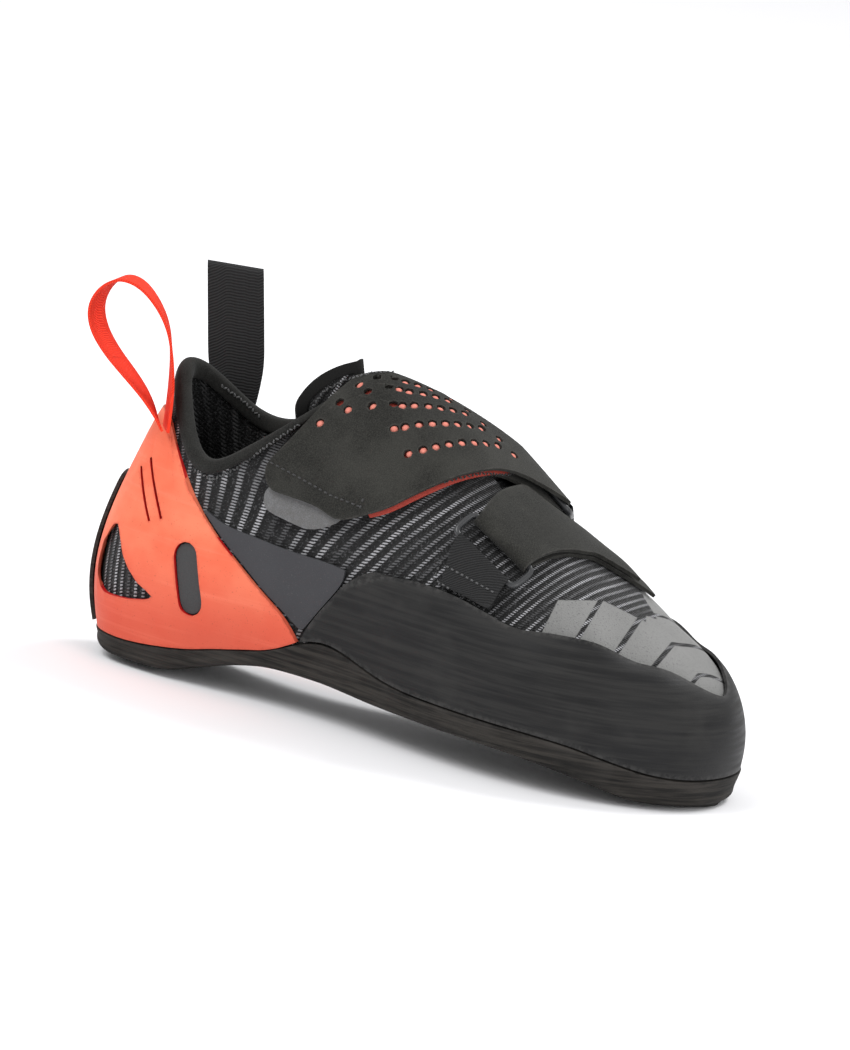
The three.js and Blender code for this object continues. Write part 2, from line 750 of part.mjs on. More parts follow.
function makeStrip() {
  return sheet(6, 9, (c, r, face) => {
    const half = mix(0.034, 0.018, r);
    const v = mix(-half, half, c);
    const low = overlayFoot(v) + 0.004;
    const high = heightOn(v, () => HEEL_STRIP_TOP - 3 * Math.pow(2 * c - 1, 2));
    const away = CUP_CLEAR + CUP_THICKNESS + GAP + (face ? HEEL_STRIP_THICKNESS : 0);
    return skin(v, mix(low, high, r), away);
  });
}

// The panel lies between the cup's front edge, its own top line and the rear edge of the rand.
const PANEL_CLEAR = 0.0035;
const PANEL_TIP = 0.006;
const PANEL_TOP = 0.765;
const PANEL_SHARES = [0, 0.05, 0.11, 0.17, 0.22, 0.26, 0.35, 0.48, 0.64, 0.82, 1];
function panelEdges(side, up) {
  const low = overlayFoot(side * 0.42);
  const own = solve(0, 1.01, (share) => mix(low, randTop(randRear(share)), share) - up);
  const byRand = own < 1 ? randRear(own) - PANEL_CLEAR : 1;
  return [cupFront(up) + PANEL_CLEAR, Math.min(panelTop(up), byRand)];
}

function makePanel(side) {
  const tip = solve(overlayFoot(side * 0.4), 0.3, (up) => {
    const [rear, front] = panelEdges(side, up);
    return front - rear - PANEL_TIP;
  });
  return sheet(5, PANEL_SHARES.length - 1, (c, r, face) => {
    const up = mix(tip, PANEL_TOP, PANEL_SHARES[Math.round(r * (PANEL_SHARES.length - 1))]);
    const [rear, front] = panelEdges(side, up);
    const way = mix(rear, Math.max(front, rear + PANEL_TIP), c);
    return skin(side * way, up, GAP + (face ? PANEL_THICKNESS : 0));
  });
}

// Throat: a slot in the upper from the collar's front forward, under the straps.
const THROAT_FRONT_AT = 0.715;
function throatPrism(halfWidth) {
  const steps = 8;
  const rowsOut = [];
  const rowsBack = [];
  for (let i = 0; i <= steps; i += 1) {
    const w = mix(COLLAR_FRONT - 0.03, THROAT_FRONT_AT, i / steps);
    const x = topX(w);
    const y = topY(Math.max(w, COLLAR_FRONT));
    rowsOut.push([x - (i === 0 ? 12 : 0), y - halfWidth]);
    rowsBack.unshift([x - (i === 0 ? 12 : 0), y + halfWidth]);
  }
  const endX = topX(THROAT_FRONT_AT);
  const endY = topY(THROAT_FRONT_AT);
  const front = [-60, -30, 0, 30, 60].map((turn) => [
    endX + halfWidth * Math.cos((turn * Math.PI) / 180),
    endY + halfWidth * Math.sin((turn * Math.PI) / 180),
  ]);
  const outline = [...rowsOut, ...front, ...rowsBack];
  const shape = new THREE.Shape(outline.map(([x, y]) => new THREE.Vector2(x, y)));
  const geometry = new THREE.ExtrudeGeometry(shape, { depth: 90, bevelEnabled: false });
  geometry.translate(0, 0, 60);
  return solidOf(geometry);
}

function cutUpper() {
  return geometryFrom(solidOf(makeUpper()).subtract(throatPrism(THROAT_HALF_WIDTH)));
}

// Tongue: inside the throat. c runs across the foot, r from the lip above the collar to the front.
const TONGUE_UNDER = WALL + 4 * GAP;
const LIP_SHARE = 0.2;
// Edge of the tongue's lip above the collar: across, then x, y and z in mm.
const LIP_ROWS = [
  [-1.0, 68.5, -15.5, 102],
  [-0.8, 70.5, -13.5, 107.5],
  [-0.6, 73.5, -10.5, 112],
  [-0.3, 79, -5, 116.3],
  [0.0, 83.5, 0.5, 118],
  [0.3, 79.5, 6, 117],
  [0.6, 74.5, 11.5, 113.5],
  [0.8, 71.5, 14.5, 109],
  [1.0, 69.5, 16.5, 103],
];
function makeTongue() {
  const across = [-1, -0.82, -0.6, -0.35, -0.12, 0.12, 0.35, 0.6, 0.82, 1];
  const along = [0, 0.07, 0.14, LIP_SHARE, 0.28, 0.36, 0.45, 0.54, 0.63, 0.72, 0.81, 0.9, 1];
  const collarAt = (c) => COLLAR_FRONT - 0.085 * Math.pow(Math.abs(c), 1.3);
  const lip = [1, 2, 3].map((column) => calmCurve(LIP_ROWS, column));
  return sheet(across, along, (c, r, face) => {
    const share = clamp((r - LIP_SHARE) / (1 - LIP_SHARE), 0, 1);
    const under = mix(WALL + BINDING_THICKNESS + 15.5 * GAP, TONGUE_UNDER, ease(share * 2.5));
    const away = -under - (face ? 0 : TONGUE_THICKNESS);
    const w = mix(collarAt(c), 0.755, share);
    const over = Math.sign(c) * Math.abs(c) * mix(0.012, 0.2, Math.min(1, share * 2.2));
    const p = overPoint(w, over || 1e-6, away);
    if (r < LIP_SHARE) {
      const edge = new THREE.Vector3(lip[0](c), lip[1](c), lip[2](c));
      const facing = new THREE.Vector3(0.6, edge.y / 22, 0.7).normalize();
      edge.addScaledVector(facing, face ? 0 : -TONGUE_THICKNESS);
      p.lerp(edge, (LIP_SHARE - r) / LIP_SHARE);
    }
    return p;
  });
}

// Collar binding: a folded band over the edge of the collar, open where the throat begins.
const BINDING_LOW = 0.95;
const BINDING_END = stationAt(COLLAR_STATION - 1);
function makeBinding() {
  const stations = [-BINDING_END, ...AROUND.filter((v) => Math.abs(v) < BINDING_END - 0.006), BINDING_END];
  const steps = stations.length - 1;
  const vertices = [];
  const faces = [];
  const t = BINDING_THICKNESS;
  const outside = 1.8 * GAP;
  const inside = -WALL - 2.5 * GAP;
  const over = -2 * GAP;
  // away from the wall's face, then down: above 0 a share of the band's width, below 0 in mm.
  const profile = [
    [outside, 1], [outside + t, 0.93], [outside + t, 0.07], [outside, over - t],
    [inside, over - t], [inside - t, 0.07], [inside - t, 1], [inside, 1],
    [inside, over], [outside, over],
  ];
  for (let i = 0; i <= steps; i += 1) {
    const v = stations[i];
    profile.forEach(([away, drop]) => {
      const rim = skin(v, 1, away);
      const low = skin(v, BINDING_LOW, away);
      const length = rim.distanceTo(low);
      vertices.push(drop > 0 ? rim.lerp(low, drop) : rim.addScaledVector(low.sub(rim), drop / length));
    });
  }
  const n = profile.length;
  for (let i = 0; i < steps; i += 1) {
    for (let k = 0; k < n; k += 1) {
      const a = i * n + k;
      const b = i * n + ((k + 1) % n);
      faces.push([a, b, a + n], [b, b + n, a + n]);
    }
  }
  const cap = [[0, 1, 2], [0, 2, 9], [2, 3, 9], [3, 8, 9], [3, 4, 8], [4, 5, 8], [5, 7, 8], [5, 6, 7]];
  cap.forEach(([a, b, c]) => {
    faces.push([a, c, b]);
    faces.push([steps * n + a, steps * n + b, steps * n + c]);
  });
  return geometryOf(vertices, faces);
}

// Rings: a rounded rectangle of wire in a frame of its own, upper bar towards the crest.
function ringFrame(at, side) {
  const [w, over] = at;
  const centre = overPoint(w, over, 0);
  const forward = overPoint(w + 0.04, over - 0.02 * side, 0);
  const bar = forward.sub(overPoint(w - 0.04, over + 0.02 * side, 0));
  const normal = lastNormal(side * w, 1 - Math.abs(over));
  const alongBar = bar.addScaledVector(normal, -bar.dot(normal)).normalize();
  const down = new THREE.Vector3().crossVectors(normal, alongBar);
  down.multiplyScalar(side < 0 ? -1 : 1).normalize();
  return { centre, alongBar, down, normal };
}

const WIRE_LIFT = 3 * GAP + STRAP_THICKNESS + WIRE_RADIUS + 0.35;
function inFrame(frame, along, down, up) {
  return frame.centre.clone()
    .addScaledVector(frame.alongBar, along)
    .addScaledVector(frame.down, down)
    .addScaledVector(frame.normal, up);
}

function makeRing(frame) {
  const halfLong = RING_LENGTH / 2;
  const halfAcross = RING_ACROSS / 2;
  const corner = 2.6;
  const turnSteps = 3;
  const path = [];
  [[1, 1, 0], [-1, 1, 90], [-1, -1, 180], [1, -1, 270]].forEach(([sx, sy, start]) => {
    for (let i = 0; i <= turnSteps; i += 1) {
      const turn = ((start + (90 * i) / turnSteps) * Math.PI) / 180;
      path.push([
        sx * (halfLong - corner) + corner * Math.cos(turn),
        sy * (halfAcross - corner) + corner * Math.sin(turn),
        Math.cos(turn), Math.sin(turn),
      ]);
    }
  });
  const sides = 8;
  const vertices = [];
  const faces = [];
  path.forEach(([along, down, outX, outY]) => {
    for (let k = 0; k < sides; k += 1) {
      const turn = (2 * Math.PI * k) / sides;
      const out = WIRE_RADIUS * Math.cos(turn);
      const height = WIRE_LIFT + WIRE_RADIUS * Math.sin(turn);
      vertices.push(inFrame(frame, along + outX * out, down + outY * out, height));
    }
  });
  const n = path.length;
  for (let i = 0; i < n; i += 1) {
    for (let k = 0; k < sides; k += 1) {
      const a = i * sides + k;
      const b = i * sides + ((k + 1) % sides);
      const c = ((i + 1) % n) * sides + k;
      const d = ((i + 1) % n) * sides + ((k + 1) % sides);
      faces.push([a, b, d], [a, d, c]);
    }
  }
  return geometryOf(vertices, faces);
}

// A band folded round one bar of a ring: it runs on the wall under the bar, turns round it and
// runs back above itself. under and over give points of the two runs at distance shares.
const FOLD_RADIUS = WIRE_RADIUS + GAP;
function foldAround(frame, barDown, sense, thickness, halfWidth, under, over, counts) {
  const nodes = [];
  for (let i = counts[0]; i > 0; i -= 1) {
    nodes.push({ kind: "under", share: i / counts[0] });
  }
  const turns = 5;
  for (let i = 0; i <= turns; i += 1) {
    nodes.push({ kind: "turn", turn: -90 + (180 * i) / turns });
  }
  for (let i = 1; i <= counts[1]; i += 1) {
    nodes.push({ kind: "over", share: i / counts[1] });
  }
  const columns = nodes.map((_, i) => i);
  const rows = counts[2];
  return sheet(columns, rows, (i, r, face) => {
    const node = nodes[i];
    const c = 2 * r - 1;
    if (node.kind === "turn") {
      const turn = (node.turn * Math.PI) / 180;
      const radius = FOLD_RADIUS + (face ? thickness : 0);
      return inFrame(frame, c * halfWidth, barDown + sense * radius * Math.cos(turn),
        WIRE_LIFT + radius * Math.sin(turn));
    }
    return node.kind === "under" ? under(node.share, c, face) : over(node.share, c, face);
  }, (i) => i > counts[0] + turns);
}

function strapEdge(rows) {
  const columns = [1, 2, 3, 4].map((column) => calmCurve(rows, column));
  return (way, c) => {
    const [rearAt, rearOver, frontAt, frontOver] = columns.map((curve) => curve(way));
    const share = (c + 1) / 2;
    return [mix(rearAt, frontAt, share), mix(rearOver, frontOver, share)];
  };
}

// The nearest way round for a strap: blends from the ring's frame to the wall.
function strapPoint(path, way, c, away, frame, flatPoint, blend) {
  const [w, over] = path(way, c);
  const onWall = overPoint(w, over || 1e-6, away);
  return blend > 0 ? onWall.lerp(flatPoint, blend) : onWall;
}

const STRAP_CLEAR = 2.2 * GAP;
const LINING_LOW = STRAP_CLEAR + STRAP_THICKNESS + 1.6 * GAP;
const LINING_AWAY = [LINING_LOW, LINING_LOW + LINING_THICKNESS];
const UPPER_FACE = LINING_LOW + LINING_THICKNESS + 2.4 * GAP;
const LOWER_FACE = STRAP_CLEAR + STRAP_THICKNESS + 2 * GAP;

function ease(t) {
  const s = clamp(t, 0, 1);
  return s * s * (3 - 2 * s);
}

const FACE_NODES = 12;
const STRAP_BANDS = 6;
const RING_WAY = 1.22;
function makeFoldedStrap(rows, frame, faceAway, ringWay, faceEnd, baseEnd, narrow) {
  const path = strapEdge(rows);
  const barDown = -RING_ACROSS / 2;
  const half = RING_LENGTH / 2 - WIRE_RADIUS - 0.9;
  const run = (end, low) => (share, c, face) => {
    const way = mix(ringWay, end, share);
    const cc = low ? mix(c, clamp(c, -1 + narrow, 1), ease(share * 3)) : c;
    const thick = face ? STRAP_THICKNESS : 0;
    const settle = ease(share * 2.6);
    const lowAway = STRAP_CLEAR + STRAP_THICKNESS - thick;
    const highAway = mix(WIRE_LIFT + FOLD_RADIUS, faceAway, settle) + thick;
    const away = low ? lowAway : highAway;
    const back = 10 * share + 0.5;
    const level = low ? WIRE_LIFT - FOLD_RADIUS - thick : WIRE_LIFT + FOLD_RADIUS + thick;
    const flat = inFrame(frame, c * half, barDown - back * 1.2, level);
    return strapPoint(path, way, cc, away, frame, flat, 1 - ease(share * 3.2));
  };
  const counts = [FACE_NODES - 1, FACE_NODES, STRAP_BANDS];
  return foldAround(frame, barDown, 1, STRAP_THICKNESS, half, run(baseEnd, true), run(faceEnd, false), counts);
}

// Keeper: webbing from the rand round the lower bar of a ring and back down.
function makeKeeper(frame, side, footUp) {
  const barDown = RING_ACROSS / 2;
  const half = RING_LENGTH / 2 - WIRE_RADIUS - 1.4;
  const run = (low) => (share, c, face) => {
    const thick = face ? KEEPER_THICKNESS : 0;
    const away = low ? GAP + KEEPER_THICKNESS - thick
      : mix(WIRE_LIFT + FOLD_RADIUS, 2 * GAP + KEEPER_THICKNESS, ease(share * 1.6)) + thick;
    const level = low ? WIRE_LIFT - FOLD_RADIUS - thick : WIRE_LIFT + FOLD_RADIUS + thick;
    const flat = inFrame(frame, c * half, barDown + 9 * share, level);
    const target = inFrame(frame, c * half, barDown + 9 * share, 0);
    const [w, up] = nearestOnWall(side, target);
    const foot = mix(up, Math.max(footUp(w), up - 0.2), ease(share));
    return skin(side * w, foot, away).lerp(flat, 1 - ease(share * 1.3));
  };
  return foldAround(frame, barDown, 1, KEEPER_THICKNESS, half, run(true), run(false), [5, 5, 5]);
}

// Share coordinates of the wall point that lies nearest to a point above or below it.
function nearestOnWall(side, target) {
  let w = 0.65;
  let up = 0.5;
  for (let i = 0; i < 12; i += 1) {
    const p = lastPoint(side * w, up);
    const dw = lastPoint(side * (w + 0.004), up).sub(p).divideScalar(0.004);
    const du = lastPoint(side * w, up + 0.004).sub(p).divideScalar(0.004);
    const miss = target.clone().sub(p);
    const a = dw.dot(dw);
    const b = dw.dot(du);
    const d = du.dot(du);
    const e = miss.dot(dw);
    const f = miss.dot(du);
    const det = a * d - b * b;
    w = clamp(w + (e * d - f * b) / det, 0.45, 0.95);
    up = clamp(up + (a * f - b * e) / det, 0.02, 0.995);
  }
  return [w, up];
}

// Lining under the face of the upper strap, standing out a little beyond its front edge.
function makeLining() {
  const path = strapEdge(UPPER_STRAP_ROWS);
  const ways = [];
  for (let i = FACE_NODES - 1; i >= 3; i -= 1) {
    ways.push(RING_WAY * (1 - i / FACE_NODES));
  }
  return sheet(ways, STRAP_BANDS, (way, r, face) => {
    const across = r < 1 ? 2 * r - 1 : 1.03;
    const [w, over] = path(way, across);
    return overPoint(w, over || 1e-6, LINING_AWAY[face]);
  });
}

// Pull tab: a strip that stands out beyond the free end of the upper strap.
// Share of the foot's length and of the way over it, for each mm square to the strap's end.
const TAB_HEADING = [-0.0033, -0.0062];
const TAB_REACH = 7.2;
function makeTab() {
  const path = strapEdge(UPPER_STRAP_ROWS);
  return sheet(2, 10, (c, r, face) => {
    const across = mix(-0.96, 0.86, r);
    const round = 1 - Math.pow(Math.abs(2 * r - 1), 5);
    const [w, over] = path(0.035, across);
    const reach = c * TAB_REACH * (0.3 + 0.7 * round);
    return overPoint(w + TAB_HEADING[0] * reach, over + TAB_HEADING[1] * reach, LINING_AWAY[face]);
  });
}

// Perforation: holes through the face of the upper strap in slanting rows.
const HOLE_LINES = 9;
const HOLES_IN_LINE = 5;
function cutHoles(geometry) {
  const path = strapEdge(UPPER_STRAP_ROWS);
  let solid = solidOf(geometry);
  const low = LINING_LOW + LINING_THICKNESS * 0.4;
  for (let i = 0; i < HOLE_LINES; i += 1) {
    for (let k = 0; k < HOLES_IN_LINE; k += 1) {
      const way = 0.34 + i * 0.077 + k * 0.012;
      const across = -0.62 + k * 0.31 + (i % 2) * 0.0;
      const [w, over] = path(way, across);
      const base = overPoint(w, over || 1e-6, low);
      const normal = lastNormal(over < 0 ? -w : w, 1 - Math.abs(over));
      const pin = new THREE.CylinderGeometry(HOLE_RADIUS, HOLE_RADIUS, 6, 6);
      pin.translate(0, 3, 0);
      pin.applyQuaternion(new THREE.Quaternion().setFromUnitVectors(new THREE.Vector3(0, 1, 0), normal));
      pin.translate(base.x, base.y, base.z);
      solid = solid.subtract(solidOf(pin));
    }
  }
  return geometryFrom(solid);
}

// Loops at the heel: a band that follows a path; across gives its width direction at each node.
function band(nodes, thickness, rows = 1) {
  const centre = nodes.map((node) => node.at);
  return sheet(nodes.map((_, i) => i), rows, (i, r, face) => {
    const before = centre[Math.max(0, i - 1)];
    const after = centre[Math.min(centre.length - 1, i + 1)];
    const heading = after.clone().sub(before).normalize();
    const across = nodes[i].across.clone().normalize();
    const facing = new THREE.Vector3().crossVectors(heading, across).normalize();
    return centre[i].clone()
      .addScaledVector(across, (r - 0.5) * nodes[i].width)
      .addScaledVector(facing, (face ? 0.5 : -0.5) * thickness);
  });
}

// Orange loop: its seat is the point of the cup under its foot, as shares of the way round the heel
// and up the wall. Each row of its middle line is x, y, z from the seat in mm, then the heading of
// its width in plan (degrees).
const RIBBON_SEAT_AT = -0.108;
const RIBBON_SEAT_UP = 0.9;
const RIBBON_WIDTH = 11;
const RIBBON_THICKNESS = 0.9;
const RIBBON_ROWS = [
  [-0.9, -1.8, 0.3, 125],
  [-1.8, -0.4, 7.3, 125],
  [-3.3, 1.5, 15.3, 124],
  [-5.6, 2.9, 24.3, 120],
  [-9.4, 4.3, 33.3, 116],
  [-15.4, 4.9, 40.3, 112],
  [-22.4, 5.3, 44.8, 106],
  [-29.4, 5.3, 45.3, 100],
  [-35, 4.9, 40.8, 94],
  [-37.2, 4.5, 33.8, 90],
  [-34.5, 3.9, 26.8, 88],
  [-27.9, 3.1, 20.3, 90],
  [-19.9, 1.3, 15.3, 95],
  [-11.9, -0.8, 10.3, 105],
  [-5.9, -2.6, 5.3, 116],
  [-2.1, -3.8, 0.8, 124],
];
function makeOrangeLoop() {
  const seat = skin(RIBBON_SEAT_AT, RIBBON_SEAT_UP, CUP_CLEAR + CUP_THICKNESS);
  const middle = RIBBON_ROWS.map(([x, y, z]) => seat.clone().add(new THREE.Vector3(x, y, z)));
  const curve = new THREE.CatmullRomCurve3(middle);
  const turn = calmCurve(RIBBON_ROWS.map((row, i) => [i, row[3]]), 1);
  const steps = 28;
  const nodes = [...Array(steps + 1).keys()].map((i) => {
    const share = i / steps;
    const angle = (turn(share * (RIBBON_ROWS.length - 1)) * Math.PI) / 180;
    return {
      at: curve.getPoint(share),
      across: new THREE.Vector3(Math.cos(angle), Math.sin(angle), 0),
      width: RIBBON_WIDTH,
    };
  });
  return band(nodes, RIBBON_THICKNESS, 1);
}

// Black webbing loop: lies on the inner side of the heel and stands up above the collar.
const WEBBING_WIDTH = 19;
const WEBBING_THICKNESS = 1.2;
const WEBBING_TOP = 133.5;
const WEBBING_AT = 0.125;
function makeBlackLoop() {
  const heading = (25 * Math.PI) / 180;
  const across = new THREE.Vector3(Math.cos(heading), Math.sin(heading), 0);
  const outward = new THREE.Vector3(-Math.sin(heading), Math.cos(heading), 0);
  const first = CUP_CLEAR + CUP_THICKNESS + 1.5 * GAP;
  const pitch = WEBBING_THICKNESS + 1.2 * GAP;
  const half = WEBBING_WIDTH / 2;
  const foot = (up, c, away) => skin(WEBBING_AT + c * 0.042, up, away);
  const middle = lastPoint(WEBBING_AT, 0.98);
  const lean = new THREE.Vector3(-0.2, 0.02, 1);
  const nodes = [];
  [0.8, 0.87, 0.93, 0.98].forEach((up) => nodes.push({ up, layer: 0 }));
  [8, 17, 26].forEach((z) => nodes.push({ z, layer: 0 }));
  [-75, -40, 0, 40, 75].forEach((turn) => nodes.push({ turn }));
  [26, 17, 8].forEach((z) => nodes.push({ z, layer: 1 }));
  [0.98, 0.93, 0.87, 0.8].forEach((up) => nodes.push({ up, layer: 1 }));
  const topRise = WEBBING_TOP - middle.z;
  return sheet(nodes.map((_, i) => i), 3, (i, r, face) => {
    const node = nodes[i];
    const c = 2 * r - 1;
    const outer = node.layer === 1 ? face : 1 - face;
    if (node.up !== undefined) {
      return foot(node.up, c, first + node.layer * pitch + outer * WEBBING_THICKNESS);
    }
    const spread = 1.6;
    const start = first + 1.2;
    if (node.turn !== undefined) {
      const turn = (node.turn * Math.PI) / 180;
      const radius = spread + (face ? WEBBING_THICKNESS : 0);
      const rise = topRise - 3.2 + radius * Math.cos(turn);
      const out = start + spread + WEBBING_THICKNESS * 0.5 + radius * Math.sin(turn);
      return middle.clone().addScaledVector(lean, rise).addScaledVector(across, c * half)
        .addScaledVector(outward, out);
    }
    const bow = Math.sin((Math.PI * node.z) / 34) * 1.2;
    const away = node.layer === 0
      ? start - bow * 0.4 + outer * WEBBING_THICKNESS
      : start + 2 * spread + WEBBING_THICKNESS * 0.9 + bow * 0.6 + outer * WEBBING_THICKNESS;
    return middle.clone().addScaledVector(lean, node.z).addScaledVector(across, c * half)
      .addScaledVector(outward, away);
  });
}

const shoe = new THREE.Group();
shoe.name = "climbing_shoe";

function add(name, geometry, color, roughness, metalness = 0) {
  const material = new THREE.MeshStandardMaterial({ color, roughness, metalness });
  material.name = name + "_material";
  const mesh = new THREE.Mesh(geometry, material);
  mesh.name = name;
  shoe.add(mesh);
}

const lowerRing = ringFrame(LOWER_RING_AT, -1);
const upperRing = ringFrame(UPPER_RING_AT, 1);

add("upper", cutUpper(), 0x3a3a3c, 0.95);
add("outsole", makeOutsole(), 0x1d1c1b, 0.8);
add("insole", makeInsole(), 0x2c2c2e, 0.9);
add("toe_rand", makeRand(), 0x1b1b1c, 0.75);
add("heel_cup", cutCup(), 0xd8593c, 0.7);
add("heel_strip", makeStrip(), 0x1d1c1b, 0.8);
add("side_panel_outer", makePanel(-1), 0x37373a, 0.7);
add("side_panel_inner", makePanel(1), 0x37373a, 0.7);
add("inset_pad_outer", makePad(-1), 0x3f3f42, 0.7);
add("inset_pad_inner", makePad(1), 0x3f3f42, 0.7);
add("tongue", makeTongue(), 0x2b2b2d, 0.95);
add("collar_binding", makeBinding(), 0x222223, 0.95);
add("lower_ring", makeRing(lowerRing), 0x1a1a1b, 0.45);
add("upper_ring", makeRing(upperRing), 0x1a1a1b, 0.45);
const lowerStrap = makeFoldedStrap(LOWER_STRAP_ROWS, lowerRing, LOWER_FACE, RING_WAY, 0, -0.3, 0);
const upperBaseEnd = RING_WAY / FACE_NODES;
const upperStrap = makeFoldedStrap(
  UPPER_STRAP_ROWS, upperRing, UPPER_FACE, RING_WAY, 0, upperBaseEnd, 2 / 3,
);
const keeperFoot = (w) => randTop(w) + 0.012;
add("lower_strap", lowerStrap, 0x262624, 0.95);
add("upper_strap", cutHoles(upperStrap), 0x262624, 0.95);
add("upper_strap_lining", makeLining(), 0xd9705a, 0.9);
add("pull_tab", makeTab(), 0x8d908e, 0.9);
add("lower_ring_keeper", makeKeeper(lowerRing, -1, keeperFoot), 0x2a2a2b, 0.95);
add("upper_ring_keeper", makeKeeper(upperRing, 1, keeperFoot), 0x2a2a2b, 0.95);
add("heel_loop_orange", makeOrangeLoop(), 0xe0432f, 0.85);
add("heel_loop_black", makeBlackLoop(), 0x252526, 0.9);

shoe.position.set(-HEEL_REST_X, 0, 0);
export default shoe;
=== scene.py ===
# %% [markdown]
# A climbing shoe with two straps.
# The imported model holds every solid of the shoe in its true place. This lesson loads it, gives each
# solid a smooth skin and a finish of its own, and sews the seams on. Each step is first described
# and then done in a short cell that prints what it made.

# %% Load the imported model
import math
from heapq import heappop, heappush

import bmesh
import bpy
import numpy as np
from mathutils import Matrix, Vector
from mathutils.bvhtree import BVHTree
from mathutils.kdtree import KDTree


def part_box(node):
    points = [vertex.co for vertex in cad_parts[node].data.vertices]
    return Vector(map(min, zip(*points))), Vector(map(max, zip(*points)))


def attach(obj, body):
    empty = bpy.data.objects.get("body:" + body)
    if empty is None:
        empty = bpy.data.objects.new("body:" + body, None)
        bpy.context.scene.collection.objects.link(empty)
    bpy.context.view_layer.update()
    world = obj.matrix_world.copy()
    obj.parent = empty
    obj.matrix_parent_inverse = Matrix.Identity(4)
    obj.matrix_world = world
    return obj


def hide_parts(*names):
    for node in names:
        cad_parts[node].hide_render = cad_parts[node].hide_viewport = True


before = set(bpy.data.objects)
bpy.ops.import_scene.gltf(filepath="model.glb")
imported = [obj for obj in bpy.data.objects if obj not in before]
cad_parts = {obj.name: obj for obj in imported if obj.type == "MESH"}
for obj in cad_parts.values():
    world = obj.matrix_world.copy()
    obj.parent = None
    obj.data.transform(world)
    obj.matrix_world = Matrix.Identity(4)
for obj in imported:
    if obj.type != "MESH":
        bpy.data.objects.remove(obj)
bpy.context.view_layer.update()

# %% [markdown]
# The photograph looks at the outer side of the shoe, 25 degrees round towards the toe and 12
# degrees from above, and the shoe is rolled toe down. A very long lens far away gives the same
# flat view. The camera comes first, because seams are later placed by the pixel where they show.

# %% Camera at the photograph's angle
PHOTO_SIZE = (850, 1050)
PIXELS_PER_METRE = 2998.3
YAW, PITCH, ROLL = (math.radians(v) for v in (25.0, 12.0, 9.61))
PICTURE_CENTRE = Vector((0.09116, -0.0010, 0.06901))
CAMERA_AWAY = 6.0
SENSOR_MM = 36.0

level = Vector((math.cos(YAW), math.sin(YAW), 0))
toward = Vector((math.sin(YAW) * math.cos(PITCH), -math.cos(YAW) * math.cos(PITCH), math.sin(PITCH)))
upright = toward.cross(level)
picture_right = level * math.cos(ROLL) + upright * math.sin(ROLL)
picture_up = upright * math.cos(ROLL) - level * math.sin(ROLL)
eye = PICTURE_CENTRE + toward * CAMERA_AWAY

camera_data = bpy.data.cameras.new("Photo camera")
camera_data.lens = SENSOR_MM * CAMERA_AWAY * PIXELS_PER_METRE / PHOTO_SIZE[1]
camera_data.sensor_width = SENSOR_MM
camera_data.clip_end = 3 * CAMERA_AWAY
camera = bpy.data.objects.new("Photo camera", camera_data)
turned = Matrix((picture_right, picture_up, toward)).transposed().to_4x4()
camera.matrix_world = Matrix.Translation(eye) @ turned
bpy.context.collection.objects.link(camera)
bpy.context.scene.camera = camera


def pixels_of(points):
    """Where world points show in the photograph, in its pixels."""
    offset = np.asarray(points) - np.array(PICTURE_CENTRE)
    nearer = offset @ np.array(toward)
    scale = PIXELS_PER_METRE * CAMERA_AWAY / (CAMERA_AWAY - nearer)
    across = PHOTO_SIZE[0] / 2 + offset @ np.array(picture_right) * scale
    down = PHOTO_SIZE[1] / 2 - offset @ np.array(picture_up) * scale
    return np.stack([across, down], axis=1)


def sight_line(pixel):
    """The direction from the camera through a pixel of the photograph."""
    right = (pixel[0] - PHOTO_SIZE[0] / 2) / PIXELS_PER_METRE
    up = (PHOTO_SIZE[1] / 2 - pixel[1]) / PIXELS_PER_METRE
    return (PICTURE_CENTRE + picture_right * right + picture_up * up - eye).normalized()


print("lens:", round(camera_data.lens), "mm")

# %% [markdown]
# A finish is a shader with a few nodes. This small helper adds nodes and joins them, so that each
# finish below reads as a recipe instead of a list of links.


# %% A helper for shader nodes
class Recipe:
    """Adds nodes to one node tree. Inputs take numbers, colours or the sockets of other nodes."""

    def __init__(self, tree):
        self.tree = tree

    def node(self, kind, inputs=None, **settings):
        made = self.tree.nodes.new("ShaderNode" + kind)
        for key, value in settings.items():
            setattr(made, key, value)
        for key, value in (inputs or {}).items():
            if isinstance(value, bpy.types.NodeSocket):
                self.tree.links.new(value, made.inputs[key])
            else:
                made.inputs[key].default_value = value
        return made

    def math(self, operation, first, second=0.0):
        return self.node("Math", {0: first, 1: second}, operation=operation).outputs[0]

    def ease(self, value, low, high, start=0.0, end=1.0):
        inputs = {"Value": value, "From Min": low, "From Max": high, "To Min": start, "To Max": end}
        return self.node("MapRange", inputs, interpolation_type="SMOOTHSTEP").outputs["Result"]

    def mix(self, share, first, second):
        return self.node("Mix", {0: share, 6: first, 7: second}, data_type="RGBA").outputs[2]

    def noise(self, place, scale, detail=2.0, roughness=0.5):
        inputs = {"Vector": place, "Scale": scale, "Detail": detail, "Roughness": roughness}
        return self.node("TexNoise", inputs).outputs["Fac"]

    def stretch(self, place, x, y, z):
        inputs = {0: place, 1: (x, y, z)}
        return self.node("VectorMath", inputs, operation="MULTIPLY").outputs[0]

    def place(self):
        return self.node("TexCoord").outputs["Object"]

    def stored(self, name):
        return self.node("Attribute", attribute_name=name).outputs["Fac"]

    def bump(self, height, depth_mm, after=None):
        inputs = {"Height": height, "Strength": 1.0, "Distance": depth_mm / 1000}
        if after is not None:
            inputs["Normal"] = after
        return self.node("Bump", inputs).outputs["Normal"]

    def group(self, tree, inputs):
        made = self.node("Group", node_tree=tree)
        for key, value in inputs.items():
            if isinstance(value, bpy.types.NodeSocket):
                self.tree.links.new(value, made.inputs[key])
            else:
                made.inputs[key].default_value = value
        return made.outputs


